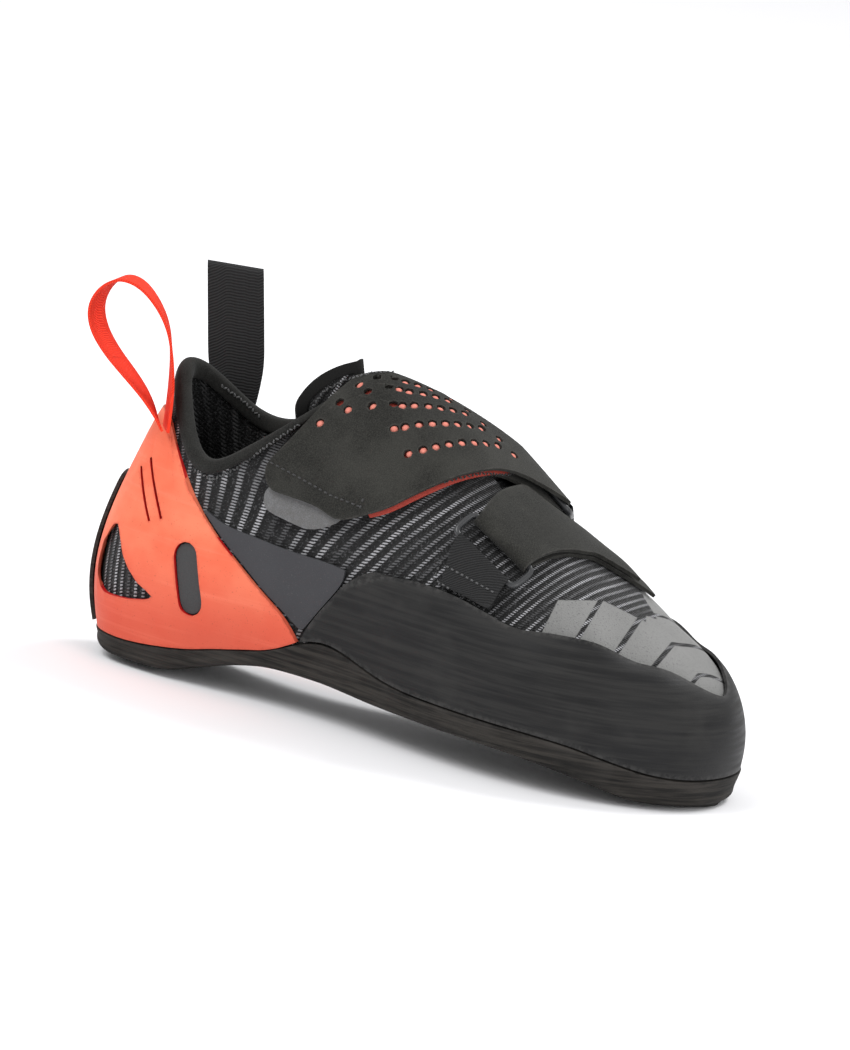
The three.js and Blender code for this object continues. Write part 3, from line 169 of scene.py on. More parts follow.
def grey(value):
    return (value, value, value * 1.02, 1.0)


def new_group(name, inputs, outputs):
    tree = bpy.data.node_groups.new(name, "ShaderNodeTree")
    for label, kind in inputs:
        tree.interface.new_socket(label, in_out="INPUT", socket_type="NodeSocket" + kind)
    for label in outputs:
        tree.interface.new_socket(label, in_out="OUTPUT", socket_type="NodeSocketFloat")
    recipe = Recipe(tree)
    start = tree.nodes.new("NodeGroupInput")
    end = tree.nodes.new("NodeGroupOutput")
    return tree, recipe, start.outputs, end.inputs


def new_finish(name, roughness, **sockets):
    """A material with its Principled shader and a recipe to add to it."""
    material = bpy.data.materials.new(name)
    material.use_nodes = True
    shader = material.node_tree.nodes["Principled BSDF"]
    shader.inputs["Roughness"].default_value = roughness
    for key, value in sockets.items():
        shader.inputs[key.replace("_", " ")].default_value = value
    recipe = Recipe(material.node_tree)

    def join(**results):
        for key, socket in results.items():
            material.node_tree.links.new(socket, shader.inputs[key.replace("_", " ")])
        return material

    return recipe, join


print("helpers ready")

# %% [markdown]
# Four effects come back in several finishes: the heathered rib knit, whose pale flecks also hold a
# painted highlight on the rib crests, fine brushed streaks, the grain of nap or rubber, and the pale
# wear along an edge. Each is a node group, built once, that gives out masks and heights only.

# %% Knit ribs
TURN = 2 * math.pi
knit_ribs, r, given, out = new_group(
    "Knit ribs", [("Place", "Vector"), ("Pitch", "Float"), ("Lean", "Float")], ["Flecks", "Height"]
)
parts = r.node("SeparateXYZ", {0: given["Place"]}).outputs
wander = r.math("MULTIPLY", r.noise(given["Place"], 30.0, 1.0), 0.0012)
leaning = r.math("MULTIPLY", parts["Z"], given["Lean"])
along_foot = r.math("ADD", r.math("SUBTRACT", parts["X"], leaning), wander)
count = r.math("DIVIDE", along_foot, given["Pitch"])
rib = r.math("SINE", r.math("MULTIPLY", count, TURN))
upward = r.math("ADD", parts["Z"], r.math("MULTIPLY", parts["Y"], 0.9))
ladder = r.math("SINE", r.math("MULTIPLY", upward, TURN / 0.00115))
which = r.math("FLOOR", r.math("ADD", count, 0.25))
column = r.node("CombineXYZ", {0: r.math("MULTIPLY", which, 3.7), 1: r.math("MULTIPLY", upward, 22.0)}).outputs[0]
amount = r.ease(r.noise(column, 1.0, 1.0), 0.36, 0.66, 0.12, 1.0)
thread = r.noise(given["Place"], 1500.0, 1.0, 0.6)
lit = r.ease(rib, 0.05, 0.75)
rungs = r.ease(r.math("ADD", ladder, r.math("MULTIPLY", thread, 2.2)), 0.6, 1.5)
# Pale yarn flecks, kept to the raised, lit half of each rib and rung: the yarn's own flecks with a painted highlight
# on the crests.
fleck_with_crest_highlight = r.math("MULTIPLY", r.math("MULTIPLY", rungs, lit), amount)
rest = r.math("MULTIPLY", r.ease(thread, 0.56, 0.68), 0.10)
r.tree.links.new(r.math("MAXIMUM", fleck_with_crest_highlight, rest), out["Flecks"])
raised = r.math("ADD", r.math("MULTIPLY", rib, 0.5), r.math("MULTIPLY", ladder, 0.25))
r.tree.links.new(r.math("ADD", raised, r.math("MULTIPLY", thread, 0.5)), out["Height"])

# %% Streaks, grain and edge wear
streaks, r, given, out = new_group(
    "Brushed streaks", [("Place", "Vector"), ("Fineness", "Float")], ["Lines"]
)
long_way = r.noise(r.stretch(given["Place"], 0.045, 0.045, 1.0), given["Fineness"], 3.0, 0.65)
r.tree.links.new(long_way, out["Lines"])

grain, r, given, out = new_group("Grain", [("Place", "Vector"), ("Size", "Float")], ["Grain", "Patches"])
fine = r.noise(given["Place"], r.math("DIVIDE", 1.0, given["Size"]), 3.0, 0.7)
r.tree.links.new(fine, out["Grain"])
r.tree.links.new(r.noise(given["Place"], 38.0, 3.0, 0.6), out["Patches"])

edge_wear, r, given, out = new_group(
    "Edge wear", [("Place", "Vector"), ("From edge", "Float"), ("Width", "Float")], ["Wear"]
)
near = r.ease(r.math("DIVIDE", given["From edge"], given["Width"]), 1.0, 0.0)
broken = r.ease(r.noise(given["Place"], 420.0, 3.0, 0.7), 0.38, 0.62)
r.tree.links.new(r.math("MULTIPLY", near, broken), out["Wear"])
print("groups:", [g.name for g in bpy.data.node_groups])

# %% [markdown]
# The upper is one knitted sock. Its ribs stand upright at the heel and lean forward over the
# forefoot, with pale flecks in a dark yarn and a painted highlight on the rib crests. A smooth grey
# film is pressed on in patches over the toe, and the inside is a dark terry. Masks stored on the mesh
# say which is where.


# %% Finishes of the upper, footbed and tongue
def beside(r, line, half_width=0.0):
    """How far a spot lies to the right of a line drawn over the photograph, in its pixels."""
    (x0, y0), (x1, y1) = line
    length = math.dist((x0, y0), (x1, y1))
    across = r.math("MULTIPLY", r.stored("photo_x"), (y0 - y1) / length)
    down = r.math("MULTIPLY", r.stored("photo_y"), (x1 - x0) / length)
    offset = (x0 * (y0 - y1) + y0 * (x1 - x0)) / length
    found = r.math("SUBTRACT", r.math("ADD", across, down), offset)
    if half_width:
        found = r.math("SUBTRACT", r.math("ABSOLUTE", found), half_width)
    return found


FILM_BACK = ((541, 634), (558, 600))
FILM_TOP = ((558, 600), (603, 600.5))
FILM_SLOPE = ((603, 600.5), (642, 620))
FILM_CREST = 646
FILM_GAPS = [
    (((573, 646), (601, 600)), 2.4),
    (((612, 659), (641, 617)), 2.6),
    (((650, 671), (678, 638)), 2.4),
    (((694, 681), (709, 663)), 2.2),
]


def knit_finish():
    r, join = new_finish("Heathered knit", 0.92, Sheen_Weight=0.08, Specular_IOR_Level=0.2)
    place = r.place()
    x = r.node("SeparateXYZ", {0: place}).outputs["X"]
    lean = r.ease(x, -0.01, 0.13, -0.1, 0.62)
    ribs = r.group(knit_ribs, {"Place": place, "Pitch": 0.0031, "Lean": lean})
    yarn = r.mix(r.noise(place, 900.0), grey(0.003), grey(0.022))
    # The pale colour comes with the flecks: yarn flecks plus a painted highlight on the rib crests.
    knit = r.mix(ribs["Flecks"], yarn, (0.42, 0.42, 0.44, 1))
    soft = r.group(grain, {"Place": place, "Size": 0.0006})
    below = r.math("MINIMUM", beside(r, FILM_TOP), beside(r, FILM_SLOPE))
    past_crest = r.math("SUBTRACT", r.stored("photo_x"), float(FILM_CREST))
    film = r.math("MINIMUM", beside(r, FILM_BACK), r.math("MAXIMUM", below, past_crest))
    rough_border = r.math("MULTIPLY", r.math("SUBTRACT", soft["Grain"], 0.5), 2.2)
    for line, half_width in FILM_GAPS:
        film = r.math("MINIMUM", film, beside(r, line, half_width))
    film = r.ease(r.math("ADD", film, rough_border), -0.5, 0.5)
    film = r.math("MULTIPLY", film, r.ease(x, 0.12, 0.125))
    worn = r.mix(soft["Patches"], (0.14, 0.14, 0.137, 1), (0.225, 0.225, 0.22, 1))
    speckled = r.mix(r.ease(soft["Grain"], 0.56, 0.68), worn, grey(0.09))
    colour = r.mix(film, knit, speckled)
    colour = r.mix(r.ease(r.stored("slit"), 0.4, 0.6), colour, (0.42, 0.012, 0.008, 1))
    terry = r.mix(r.ease(soft["Grain"], 0.5, 0.62), grey(0.004), grey(0.05))
    # The terry takes the same flecks and painted crest highlight, more faintly.
    terry = r.mix(r.math("MULTIPLY", ribs["Flecks"], 0.45), terry, grey(0.2))
    inner = r.ease(r.stored("inner"), 0.4, 0.6)
    colour = r.mix(inner, colour, terry)
    knit_bump = r.math("MULTIPLY", ribs["Height"], r.math("SUBTRACT", 1.0, film))
    height = r.math("ADD", knit_bump, r.math("MULTIPLY", soft["Grain"], 0.6))
    rough = r.math("SUBTRACT", 0.93, r.math("MULTIPLY", film, 0.35))
    return join(Base_Color=colour, Roughness=rough, Normal=r.bump(height, 0.4))


def footbed_finish():
    r, join = new_finish("Terry footbed", 0.95, Specular_IOR_Level=0.2)
    soft = r.group(grain, {"Place": r.place(), "Size": 0.0009})
    colour = r.mix(soft["Grain"], grey(0.005), grey(0.04))
    return join(Base_Color=colour, Normal=r.bump(soft["Grain"], 0.5))


def tongue_finish():
    r, join = new_finish("Padded knit tongue", 0.92, Specular_IOR_Level=0.2)
    place = r.place()
    ribs = r.group(knit_ribs, {"Place": place, "Pitch": 0.0026, "Lean": 0.35})
    yarn = r.mix(r.noise(place, 900.0), grey(0.006), grey(0.04))
    # The tongue's pale flecks also carry a painted highlight on the rib crests.
    knit = r.mix(ribs["Flecks"], yarn, (0.58, 0.58, 0.6, 1))
    smooth = r.ease(r.stored("wedge"), -1.0, 1.0)
    tape = r.ease(r.stored("rim"), 4.2, 3.8)
    plain = r.math("MAXIMUM", smooth, tape)
    nap = r.mix(r.noise(place, 2400.0, 2.0), (0.005, 0.005, 0.005, 1), (0.018, 0.018, 0.017, 1))
    height = r.math("MULTIPLY", ribs["Height"], r.math("SUBTRACT", 1.0, plain))
    height = r.math("ADD", height, r.math("MULTIPLY", r.ease(r.stored("rim"), 4.6, 3.6), 2.0))
    return join(Base_Color=r.mix(plain, knit, nap), Normal=r.bump(height, 0.35))


# %% [markdown]
# Rubber has three looks here. The rand is a tight matt black with fine streaks along the foot, the
# sole is sanded brown at its side, and the heel cup is moulded in coral orange with a soft bloom and
# is painted darker towards its foot as painted shade from below. All are paler along worn edges.


# %% Finishes of the rubber pieces
def rand_finish():
    r, join = new_finish("Rand rubber", 0.5, Specular_IOR_Level=0.22)
    place = r.place()
    lines = r.group(streaks, {"Place": place, "Fineness": 520.0})["Lines"]
    fine = r.group(grain, {"Place": place, "Size": 0.0007})
    colour = r.mix(r.ease(lines, 0.35, 0.7), (0.0065, 0.0065, 0.007, 1), (0.021, 0.0205, 0.02, 1))
    dusty = r.math("MULTIPLY", r.ease(fine["Patches"], 0.5, 0.75), 0.3)
    colour = r.mix(dusty, colour, (0.04, 0.039, 0.037, 1))
    wear = r.group(edge_wear, {"Place": place, "From edge": r.stored("rim"), "Width": 2.2})["Wear"]
    colour = r.mix(r.math("MULTIPLY", wear, 0.35), colour, (0.08, 0.078, 0.075, 1))
    rough = r.ease(lines, 0.3, 0.75, 0.45, 0.68)
    height = r.math("ADD", r.math("MULTIPLY", lines, 0.7), r.math("MULTIPLY", fine["Grain"], 0.3))
    return join(Base_Color=colour, Roughness=rough, Normal=r.bump(height, 0.16))


def sole_finish():
    r, join = new_finish("Sanded sole rubber", 0.75, Specular_IOR_Level=0.2)
    place = r.place()
    lines = r.group(streaks, {"Place": place, "Fineness": 800.0})["Lines"]
    fine = r.group(grain, {"Place": place, "Size": 0.0006})
    colour = r.mix(r.ease(lines, 0.32, 0.68), (0.007, 0.0065, 0.006, 1), (0.036, 0.032, 0.028, 1))
    dusty = r.math("MULTIPLY", r.ease(fine["Patches"], 0.48, 0.7), 0.3)
    colour = r.mix(dusty, colour, (0.05, 0.046, 0.042, 1))
    wear = r.group(edge_wear, {"Place": place, "From edge": r.stored("rim"), "Width": 1.4})["Wear"]
    colour = r.mix(r.math("MULTIPLY", wear, 0.2), colour, (0.07, 0.066, 0.06, 1))
    height = r.math("ADD", lines, r.math("MULTIPLY", fine["Grain"], 0.5))
    return join(Base_Color=colour, Normal=r.bump(height, 0.22))


def cup_finish():
    r, join = new_finish("Coral cup rubber", 0.6, Specular_IOR_Level=0.25)
    place = r.place()
    fine = r.group(grain, {"Place": place, "Size": 0.0005})
    lines = r.group(streaks, {"Place": place, "Fineness": 260.0})["Lines"]
    bloom = r.ease(fine["Patches"], 0.3, 0.72)
    colour = r.mix(bloom, (0.76, 0.135, 0.065, 1), (0.84, 0.215, 0.115, 1))
    # Darker red towards the foot of the cup: painted shade from below.
    height_up = r.node("SeparateXYZ", {0: place}).outputs["Z"]
    low = r.ease(height_up, 0.052, 0.018, 0.0, 0.75)
    colour = r.mix(low, colour, (0.60, 0.072, 0.042, 1))
    colour = r.mix(r.math("MULTIPLY", r.ease(lines, 0.5, 0.75), 0.25), colour, (0.9, 0.26, 0.16, 1))
    speck = r.math("MULTIPLY", r.ease(r.noise(place, 1500.0, 1.0), 0.68, 0.74), 0.35)
    colour = r.mix(speck, colour, (0.3, 0.05, 0.03, 1))
    wear = r.group(edge_wear, {"Place": place, "From edge": r.stored("rim"), "Width": 1.1})["Wear"]
    colour = r.mix(r.math("MULTIPLY", wear, 0.5), colour, (0.42, 0.06, 0.035, 1))
    return join(Base_Color=colour, Normal=r.bump(r.math("ADD", fine["Grain"], lines), 0.07))


def cup_edge_finish():
    r, join = new_finish("Red cut edge", 0.45)
    shade = r.noise(r.place(), 300.0)
    return join(Base_Color=r.mix(shade, (0.48, 0.008, 0.01, 1), (0.66, 0.018, 0.016, 1)))


def inset_finish():
    r, join = new_finish("Inset rubber", 0.55, Specular_IOR_Level=0.3)
    fine = r.group(grain, {"Place": r.place(), "Size": 0.0005})
    colour = r.mix(fine["Grain"], grey(0.03), grey(0.06))
    return join(Base_Color=colour, Normal=r.bump(fine["Grain"], 0.08))


def panel_finish():
    r, join = new_finish("Smooth side panel", 0.55, Specular_IOR_Level=0.25)
    fine = r.group(grain, {"Place": r.place(), "Size": 0.0005})
    colour = r.mix(fine["Patches"], (0.034, 0.034, 0.038, 1), (0.052, 0.052, 0.057, 1))
    colour = r.mix(r.ease(fine["Grain"], 0.6, 0.72), colour, grey(0.075))
    return join(Base_Color=colour, Normal=r.bump(fine["Grain"], 0.06))


# %% [markdown]
# Straps and bindings are a napped microfibre: very matt, with a fine grain and a faint sheen where
# light grazes the nap. Webbing and ribbon have fine cross ribs, so they follow a length stored
# along the tape. The rings are wire in a satin black coat.


# %% Finishes of straps, tapes, thread and wire
def suede_finish(name, dark, light):
    r, join = new_finish(name, 0.95, Sheen_Weight=0.06, Specular_IOR_Level=0.15)
    place = r.place()
    nap = r.group(grain, {"Place": place, "Size": 0.00035})
    colour = r.mix(r.ease(nap["Grain"], 0.35, 0.7), dark, light)
    brushed = r.math("MULTIPLY", r.ease(nap["Patches"], 0.42, 0.7), 0.4)
    colour = r.mix(brushed, colour, tuple(1.5 * v for v in light[:3]) + (1,))
    wear = r.group(edge_wear, {"Place": place, "From edge": r.stored("rim"), "Width": 0.7})["Wear"]
    colour = r.mix(r.math("MULTIPLY", wear, 0.3), colour, (0.09, 0.086, 0.078, 1))
    return join(Base_Color=colour, Normal=r.bump(nap["Grain"], 0.14))


def felt_in_painted_shade_finish():
    r, join = new_finish("Coral felt", 0.9, Specular_IOR_Level=0.2)
    fibre = r.group(grain, {"Place": r.place(), "Size": 0.0004})
    # The lining felt is painted a darker coral than the felt in the holes: painted shade under the strap.
    colour = r.mix(fibre["Grain"], (0.30, 0.035, 0.028, 1), (0.52, 0.09, 0.065, 1))
    return join(Base_Color=colour, Normal=r.bump(fibre["Grain"], 0.2))


def swell_finish():
    r, join = new_finish("Coral felt in the holes", 0.9, Specular_IOR_Level=0.2)
    fibre = r.noise(r.place(), 2600.0, 2.0)
    return join(Base_Color=r.mix(fibre, (0.48, 0.11, 0.08, 1), (0.85, 0.33, 0.26, 1)))


def tape_finish(name, dark, light, pitch, roughness=0.85):
    r, join = new_finish(name, roughness, Specular_IOR_Level=0.2)
    place = r.place()
    wave = r.math("SINE", r.math("MULTIPLY", r.stored("run"), TURN / pitch))
    yarn = r.noise(place, 1500.0, 2.0)
    shade = r.math("ADD", r.ease(wave, -1.0, 1.0, 0.15, 0.75), r.math("MULTIPLY", yarn, 0.25))
    height = r.math("ADD", wave, yarn)
    return join(Base_Color=r.mix(shade, dark, light), Normal=r.bump(height, 0.1))


def wire_finish():
    r, join = new_finish("Coated wire", 0.4, Specular_IOR_Level=0.5)
    scratched = r.ease(r.noise(r.place(), 700.0, 4.0, 0.75), 0.6, 0.72)
    colour = r.mix(scratched, (0.03, 0.031, 0.033, 1), (0.075, 0.075, 0.08, 1))
    rough = r.ease(scratched, 0.0, 1.0, 0.34, 0.5)
    return join(Base_Color=colour, Roughness=rough)


def thread_finish(name, dark, light):
    r, join = new_finish(name, 0.8, Sheen_Weight=0.2)
    return join(Base_Color=r.mix(r.noise(r.place(), 2200.0), dark, light))


finishes = {
    "knit": knit_finish(),
    "footbed": footbed_finish(),
    "tongue": tongue_finish(),
    "rand": rand_finish(),
    "sole": sole_finish(),
    "cup": cup_finish(),
    "cup edge": cup_edge_finish(),
    "inset": inset_finish(),
    "panel": panel_finish(),
    "strap": suede_finish("Strap suede", (0.010, 0.010, 0.009, 1), (0.036, 0.0355, 0.0315, 1)),
    "binding": suede_finish("Binding suede", (0.006, 0.006, 0.0055, 1), (0.026, 0.026, 0.024, 1)),
    # The lining felt's darker coral is painted shade under the strap.
    "felt": felt_in_painted_shade_finish(),
    "grey tape": suede_finish("Grey tape", grey(0.11), grey(0.17)),
    "webbing": tape_finish("Black webbing", grey(0.006), grey(0.03), 0.0010),
    "ribbon": tape_finish("Orange ribbon", (0.56, 0.012, 0.006, 1), (0.93, 0.06, 0.022, 1), 0.0009),
    "swell": swell_finish(),
    "wire": wire_finish(),
    "thread": thread_finish("Black thread", grey(0.008), grey(0.05)),
    "pale thread": thread_finish("Grey thread", grey(0.03), grey(0.11)),
}
print("finishes:", len(finishes))

# %% [markdown]
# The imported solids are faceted. Each visible piece starts as a copy of its solid: the copy is
# merged, its triangles are paired into quads, its hard rims are creased, and a Subdivision Surface
# rounds the rest. The copy then replaces the solid, and stays where the solid is.


# %% Dress a solid in a smooth skin
def only(piece):
    bpy.ops.object.select_all(action="DESELECT")
    piece.select_set(True)
    bpy.context.view_layer.objects.active = piece


def dress(node, name, slot, finish, levels=2, hard_angle=50.0):
    """A smooth copy of a CAD node, with its rims kept hard."""
    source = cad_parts[node]
    piece = source.copy()
    piece.data = source.data.copy()
    piece.name = piece.data.name = name.replace(" ", "_")
    bpy.context.collection.objects.link(piece)
    only(piece)
    bpy.ops.object.mode_set(mode="EDIT")
    bpy.ops.mesh.select_all(action="SELECT")
    bpy.ops.mesh.customdata_custom_splitnormals_clear()
    bpy.ops.mesh.remove_doubles(threshold=3e-6)
    angle = math.radians(40)
    bpy.ops.mesh.tris_convert_to_quads(face_threshold=angle, shape_threshold=math.radians(70))
    bpy.ops.object.mode_set(mode="OBJECT")
    shape = bmesh.new()
    shape.from_mesh(piece.data)
    crease = shape.edges.layers.float.new("crease_edge")
    for edge in shape.edges:
        if len(edge.link_faces) != 2 or edge.calc_face_angle(0.0) > math.radians(hard_angle):
            edge[crease] = 1.0
    shape.to_mesh(piece.data)
    shape.free()
    rounding = piece.modifiers.new("Rounding", "SUBSURF")
    rounding.levels = rounding.render_levels = levels
    bpy.ops.object.modifier_apply(modifier="Rounding")
    bpy.ops.object.shade_smooth_by_angle(angle=math.radians(42))
    piece.data.materials.clear()
    piece.data.materials.append(finishes[finish])
    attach(piece, "root")
    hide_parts(node)
    return piece


def points_of(piece):
    found = np.empty(len(piece.data.vertices) * 3)
    piece.data.vertices.foreach_get("co", found)
    return found.reshape(-1, 3)


def normals_of(piece):
    found = np.empty(len(piece.data.vertices) * 3)
    piece.data.vertex_normals.foreach_get("vector", found)
    return found.reshape(-1, 3)


def store(piece, name, values):
    """Keeps one number for each vertex, for the finishes to read."""
    layer = piece.data.attributes.new(name, "FLOAT", "POINT")
    layer.data.foreach_set("value", np.asarray(values, dtype=np.float32))


def store_rim_distance(piece, hard_angle=48.0, keep=None):
    """Stores the distance to the nearest hard rim in mm."""
    shape = bmesh.new()
    shape.from_mesh(piece.data)
    rims = []
    for edge in shape.edges:
        if edge.calc_face_angle(0.0) > math.radians(hard_angle):
            middle = (edge.verts[0].co + edge.verts[1].co) / 2
            if keep is None or keep(middle):
                rims.extend([edge.verts[0].co.copy(), middle, edge.verts[1].co.copy()])
    shape.free()
    tree = KDTree(len(rims))
    for index, rim in enumerate(rims):
        tree.insert(rim, index)
    tree.balance()
    far = [1000 * tree.find(v.co)[2] if rims else 99.0 for v in piece.data.vertices]
    store(piece, "rim", far)


def store_run(piece, at_start):
    """Stores how far each vertex lies along a tape, walking its edges from the chosen end."""
    points = points_of(piece)
    neighbours = [[] for _ in points]
    for edge in piece.data.edges:
        a, b = edge.vertices
        length = float(np.linalg.norm(points[a] - points[b]))
        neighbours[a].append((b, length))
        neighbours[b].append((a, length))
    way = np.full(len(points), 1e9)
    waiting = []
    for index, point in enumerate(points):
        if at_start(point):
            way[index] = 0.0
            heappush(waiting, (0.0, index))
    while waiting:
        so_far, index = heappop(waiting)
        if so_far <= way[index]:
            for other, length in neighbours[index]:
                if so_far + length < way[other]:
                    way[other] = so_far + length
                    heappush(waiting, (way[other], other))
    store(piece, "run", np.minimum(way, 1.0))
    return float(way[way < 1e8].max())


# %% Dress every solid
WARDROBE = [
    ("upper", "Knit upper", "knit", "knit", 2, 50),
    ("outsole", "Outsole", "sole_rubber", "sole", 2, 50),
    ("heel_strip", "Heel strip", "sole_rubber", "sole", 2, 50),
    ("insole", "Footbed", "footbed", "footbed", 1, 50),
    ("toe_rand", "Toe rand", "rand_rubber", "rand", 2, 50),
    ("heel_cup", "Heel cup", "cup_rubber", "cup", 2, 50),
    ("side_panel_outer", "Outer side panel", "panel_skin", "panel", 2, 50),
    ("side_panel_inner", "Inner side panel", "panel_skin", "panel", 2, 50),
    ("inset_pad_outer", "Outer inset", "inset_rubber", "inset", 1, 50),
    ("inset_pad_inner", "Inner inset", "inset_rubber", "inset", 1, 50),
    ("tongue", "Tongue", "tongue_padding", "tongue", 2, 60),
    ("collar_binding", "Collar binding", "binding_suede", "binding", 2, 100),
    ("upper_strap", "Upper strap", "strap_suede", "strap", 2, 66),
    ("lower_strap", "Lower strap", "strap_suede", "strap", 2, 66),
    ("upper_strap_lining", "Upper strap lining", "coral_lining", "felt", 1, 60),
    ("pull_tab", "Strap end tab", "tab_tape", "grey tape", 2, 60),
    ("lower_ring", "Lower ring", "coated_wire", "wire", 2, 100),
    ("upper_ring", "Upper ring", "coated_wire", "wire", 2, 100),
    ("lower_ring_keeper", "Lower ring keeper", "black_webbing", "webbing", 2, 60),
    ("upper_ring_keeper", "Upper ring keeper", "black_webbing", "webbing", 2, 60),
    ("heel_loop_orange", "Orange heel loop", "orange_ribbon", "ribbon", 2, 60),
    ("heel_loop_black", "Black heel loop", "black_webbing", "webbing", 2, 60),
]
worn = {row[0]: dress(*row) for row in WARDROBE}
for node in ("outsole", "heel_strip", "toe_rand", "heel_cup", "collar_binding", "upper_strap", "lower_strap"):
    store_rim_distance(worn[node])
print("pieces:", len(worn), "faces:", sum(len(p.data.polygons) for p in worn.values()))

# %% [markdown]
# The strap was cut for its holes, which leaves long facets round them. The real strap is one even
# sheet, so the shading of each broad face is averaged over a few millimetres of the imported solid.
# Rims keep the shading that they have.


# %% Even out the shading of the straps
def even_shading(piece, node, reach_mm):
    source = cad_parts[node].data
    count = len(source.polygons)
    centres, directions, areas = np.empty(count * 3), np.empty(count * 3), np.empty(count)
    source.polygons.foreach_get("center", centres)
    source.polygons.foreach_get("normal", directions)
    source.polygons.foreach_get("area", areas)
    centres, directions = centres.reshape(-1, 3), directions.reshape(-1, 3)
    mesh = piece.data
    corner_vertex = np.empty(len(mesh.loops), int)
    mesh.loops.foreach_get("vertex_index", corner_vertex)
    face_sizes = np.empty(len(mesh.polygons), int)
    mesh.polygons.foreach_get("loop_total", face_sizes)
    face_normals = np.empty(len(mesh.polygons) * 3)
    mesh.polygons.foreach_get("normal", face_normals)
    facing = np.repeat(face_normals.reshape(-1, 3), face_sizes, axis=0)
    kept = np.empty(len(mesh.loops) * 3)
    mesh.corner_normals.foreach_get("vector", kept)
    kept = kept.reshape(-1, 3)
    spots = points_of(piece)[corner_vertex]
    for start in range(0, len(spots), 1500):
        part = slice(start, start + 1500)
        apart = ((spots[part, None] - centres[None]) ** 2).sum(2)
        alike = facing[part] @ directions.T
        weight = areas * np.exp(-apart / (2 * (reach_mm / 1000) ** 2)) * np.clip(alike - 0.7, 0, 1)
        total = weight @ directions
        size = np.linalg.norm(total, axis=1)
        usable = size > 1e-12
        mean = total / np.maximum(size, 1e-12)[:, None]
        close = (mean * facing[part]).sum(1) > 0.86
        kept[part] = np.where((usable & close)[:, None], mean, kept[part])
    mesh.normals_split_custom_set(kept.tolist())
    print(piece.name, "shading evened over", reach_mm, "mm")


even_shading(worn["upper_strap"], "upper_strap", 3.5)
even_shading(worn["lower_strap"], "lower_strap", 3.0)

# %% [markdown]
# Coral felt is glued under the perforated face and swells up into each hole. One small dome is
# copied into every hole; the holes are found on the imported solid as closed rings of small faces.


# %% Find the holes of the upper strap
def holes_of(node, hard_angle=61.0, most_faces=60):
    """Middle, axis, radius and half depth of each small hole through a solid."""
    shape = bmesh.new()
    shape.from_mesh(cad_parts[node].data)
    bmesh.ops.remove_doubles(shape, verts=shape.verts[:], dist=3e-6)
    waiting, found = set(shape.faces), []
    while waiting:
        ring, front = set(), [waiting.pop()]
        while front:
            face = front.pop()
            ring.add(face)
            for edge in face.edges:
                if len(edge.link_faces) == 2 and edge.calc_face_angle(0.0) < math.radians(hard_angle):
                    for other in edge.link_faces:
                        if other in waiting:
                            waiting.discard(other)
                            front.append(other)
        total = sum((f.normal * f.calc_area() for f in ring), Vector())
        area = sum(f.calc_area() for f in ring)
        if len(ring) > most_faces or total.length > 0.3 * area:
            continue
        corners = np.array([v.co[:] for v in {v for f in ring for v in f.verts}])
        normals = np.array([f.normal[:] for f in ring])
        axis = Vector(np.linalg.svd(normals)[2][2])
        centre = Vector(corners.mean(0))
        if axis.dot(centre - Vector((centre.x, 0, 0.03))) < 0:
            axis.negate()
        offset = corners - np.array(centre)
        along = offset @ np.array(axis)
        radius = np.linalg.norm(offset - along[:, None] * np.array(axis), axis=1).mean()
        if radius < 0.003:
            found.append((centre, axis, float(radius), float(np.abs(along).mean())))
    shape.free()
    return found


holes = holes_of("upper_strap")
print("holes:", len(holes), "radius:", round(1000 * holes[0][2], 2) if holes else None, "mm")

# %% Felt in the holes
FELT_BELOW_FACE = 0.00022
bpy.ops.object.select_all(action="DESELECT")
bpy.ops.mesh.primitive_uv_sphere_add(segments=12, ring_count=6, radius=1.0)
dome = bpy.context.object
DOME_POINTS = np.array([tuple(v.co) for v in dome.data.vertices])
DOME_FACES = [list(f.vertices) for f in dome.data.polygons]
bpy.data.objects.remove(dome)
corners, faces = [], []
for centre, axis, radius, half_depth in holes:
    turn = axis.to_track_quat("Z", "Y").to_matrix()
    base = centre - axis * half_depth
    size = np.array([radius * 0.86, radius * 0.86, 2 * half_depth - FELT_BELOW_FACE])
    start = len(corners)
    corners.extend((base + turn @ Vector(p * size))[:] for p in DOME_POINTS)
    faces.extend([start + i for i in face] for face in DOME_FACES)
felt_mesh = bpy.data.meshes.new("Felt_in_holes")
felt_mesh.from_pydata(corners, [], faces)
felt_mesh.materials.append(finishes["swell"])
felt = bpy.data.objects.new("Felt_in_holes", felt_mesh)
bpy.context.collection.objects.link(felt)
only(felt)
bpy.ops.object.shade_smooth()
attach(felt, "root")
print("felt domes:", len(holes))

# %% [markdown]
# The masks of the upper are worked out from outlines drawn over the photograph. A vertex on the far
# side is judged by its mirror image, so the film runs over the toe as one sheet. A stored distance,
# not a yes or no, keeps each border crisp between two vertices.


# %% Outlines drawn over the photograph
def segment_distance(points, first, last):
    first, last = np.array(first, float), np.array(last, float)
    along = last - first
    share = np.clip((points - first) @ along / (along @ along), 0, 1)
    return np.linalg.norm(points - first - share[:, None] * along, axis=1)


def inside_distance(points, outline):
    """The distance to an outline in pixels, positive inside it."""
    distance = np.full(len(points), 1e9)
    inside = np.zeros(len(points), bool)
    for first, last in zip(outline, outline[1:] + outline[:1]):
        distance = np.minimum(distance, segment_distance(points, first, last))
        crosses = (first[1] > points[:, 1]) != (last[1] > points[:, 1])
        rise = (last[1] - first[1]) or 1.0
        at = first[0] + (points[:, 1] - first[1]) * (last[0] - first[0]) / rise
        inside ^= crosses & (points[:, 0] < at)
    return np.where(inside, distance, -distance)


FOREFOOT_MIDDLE = 0.004
WEDGE_OUTLINE = [(440, 484), (474, 477), (501, 494), (521, 506), (491, 512), (470, 504)]
SLITS_LOW = (-0.016, 0.052)
SLITS_HIGH = (0.012, 0.078)
SLIT_BAND = 0.0045

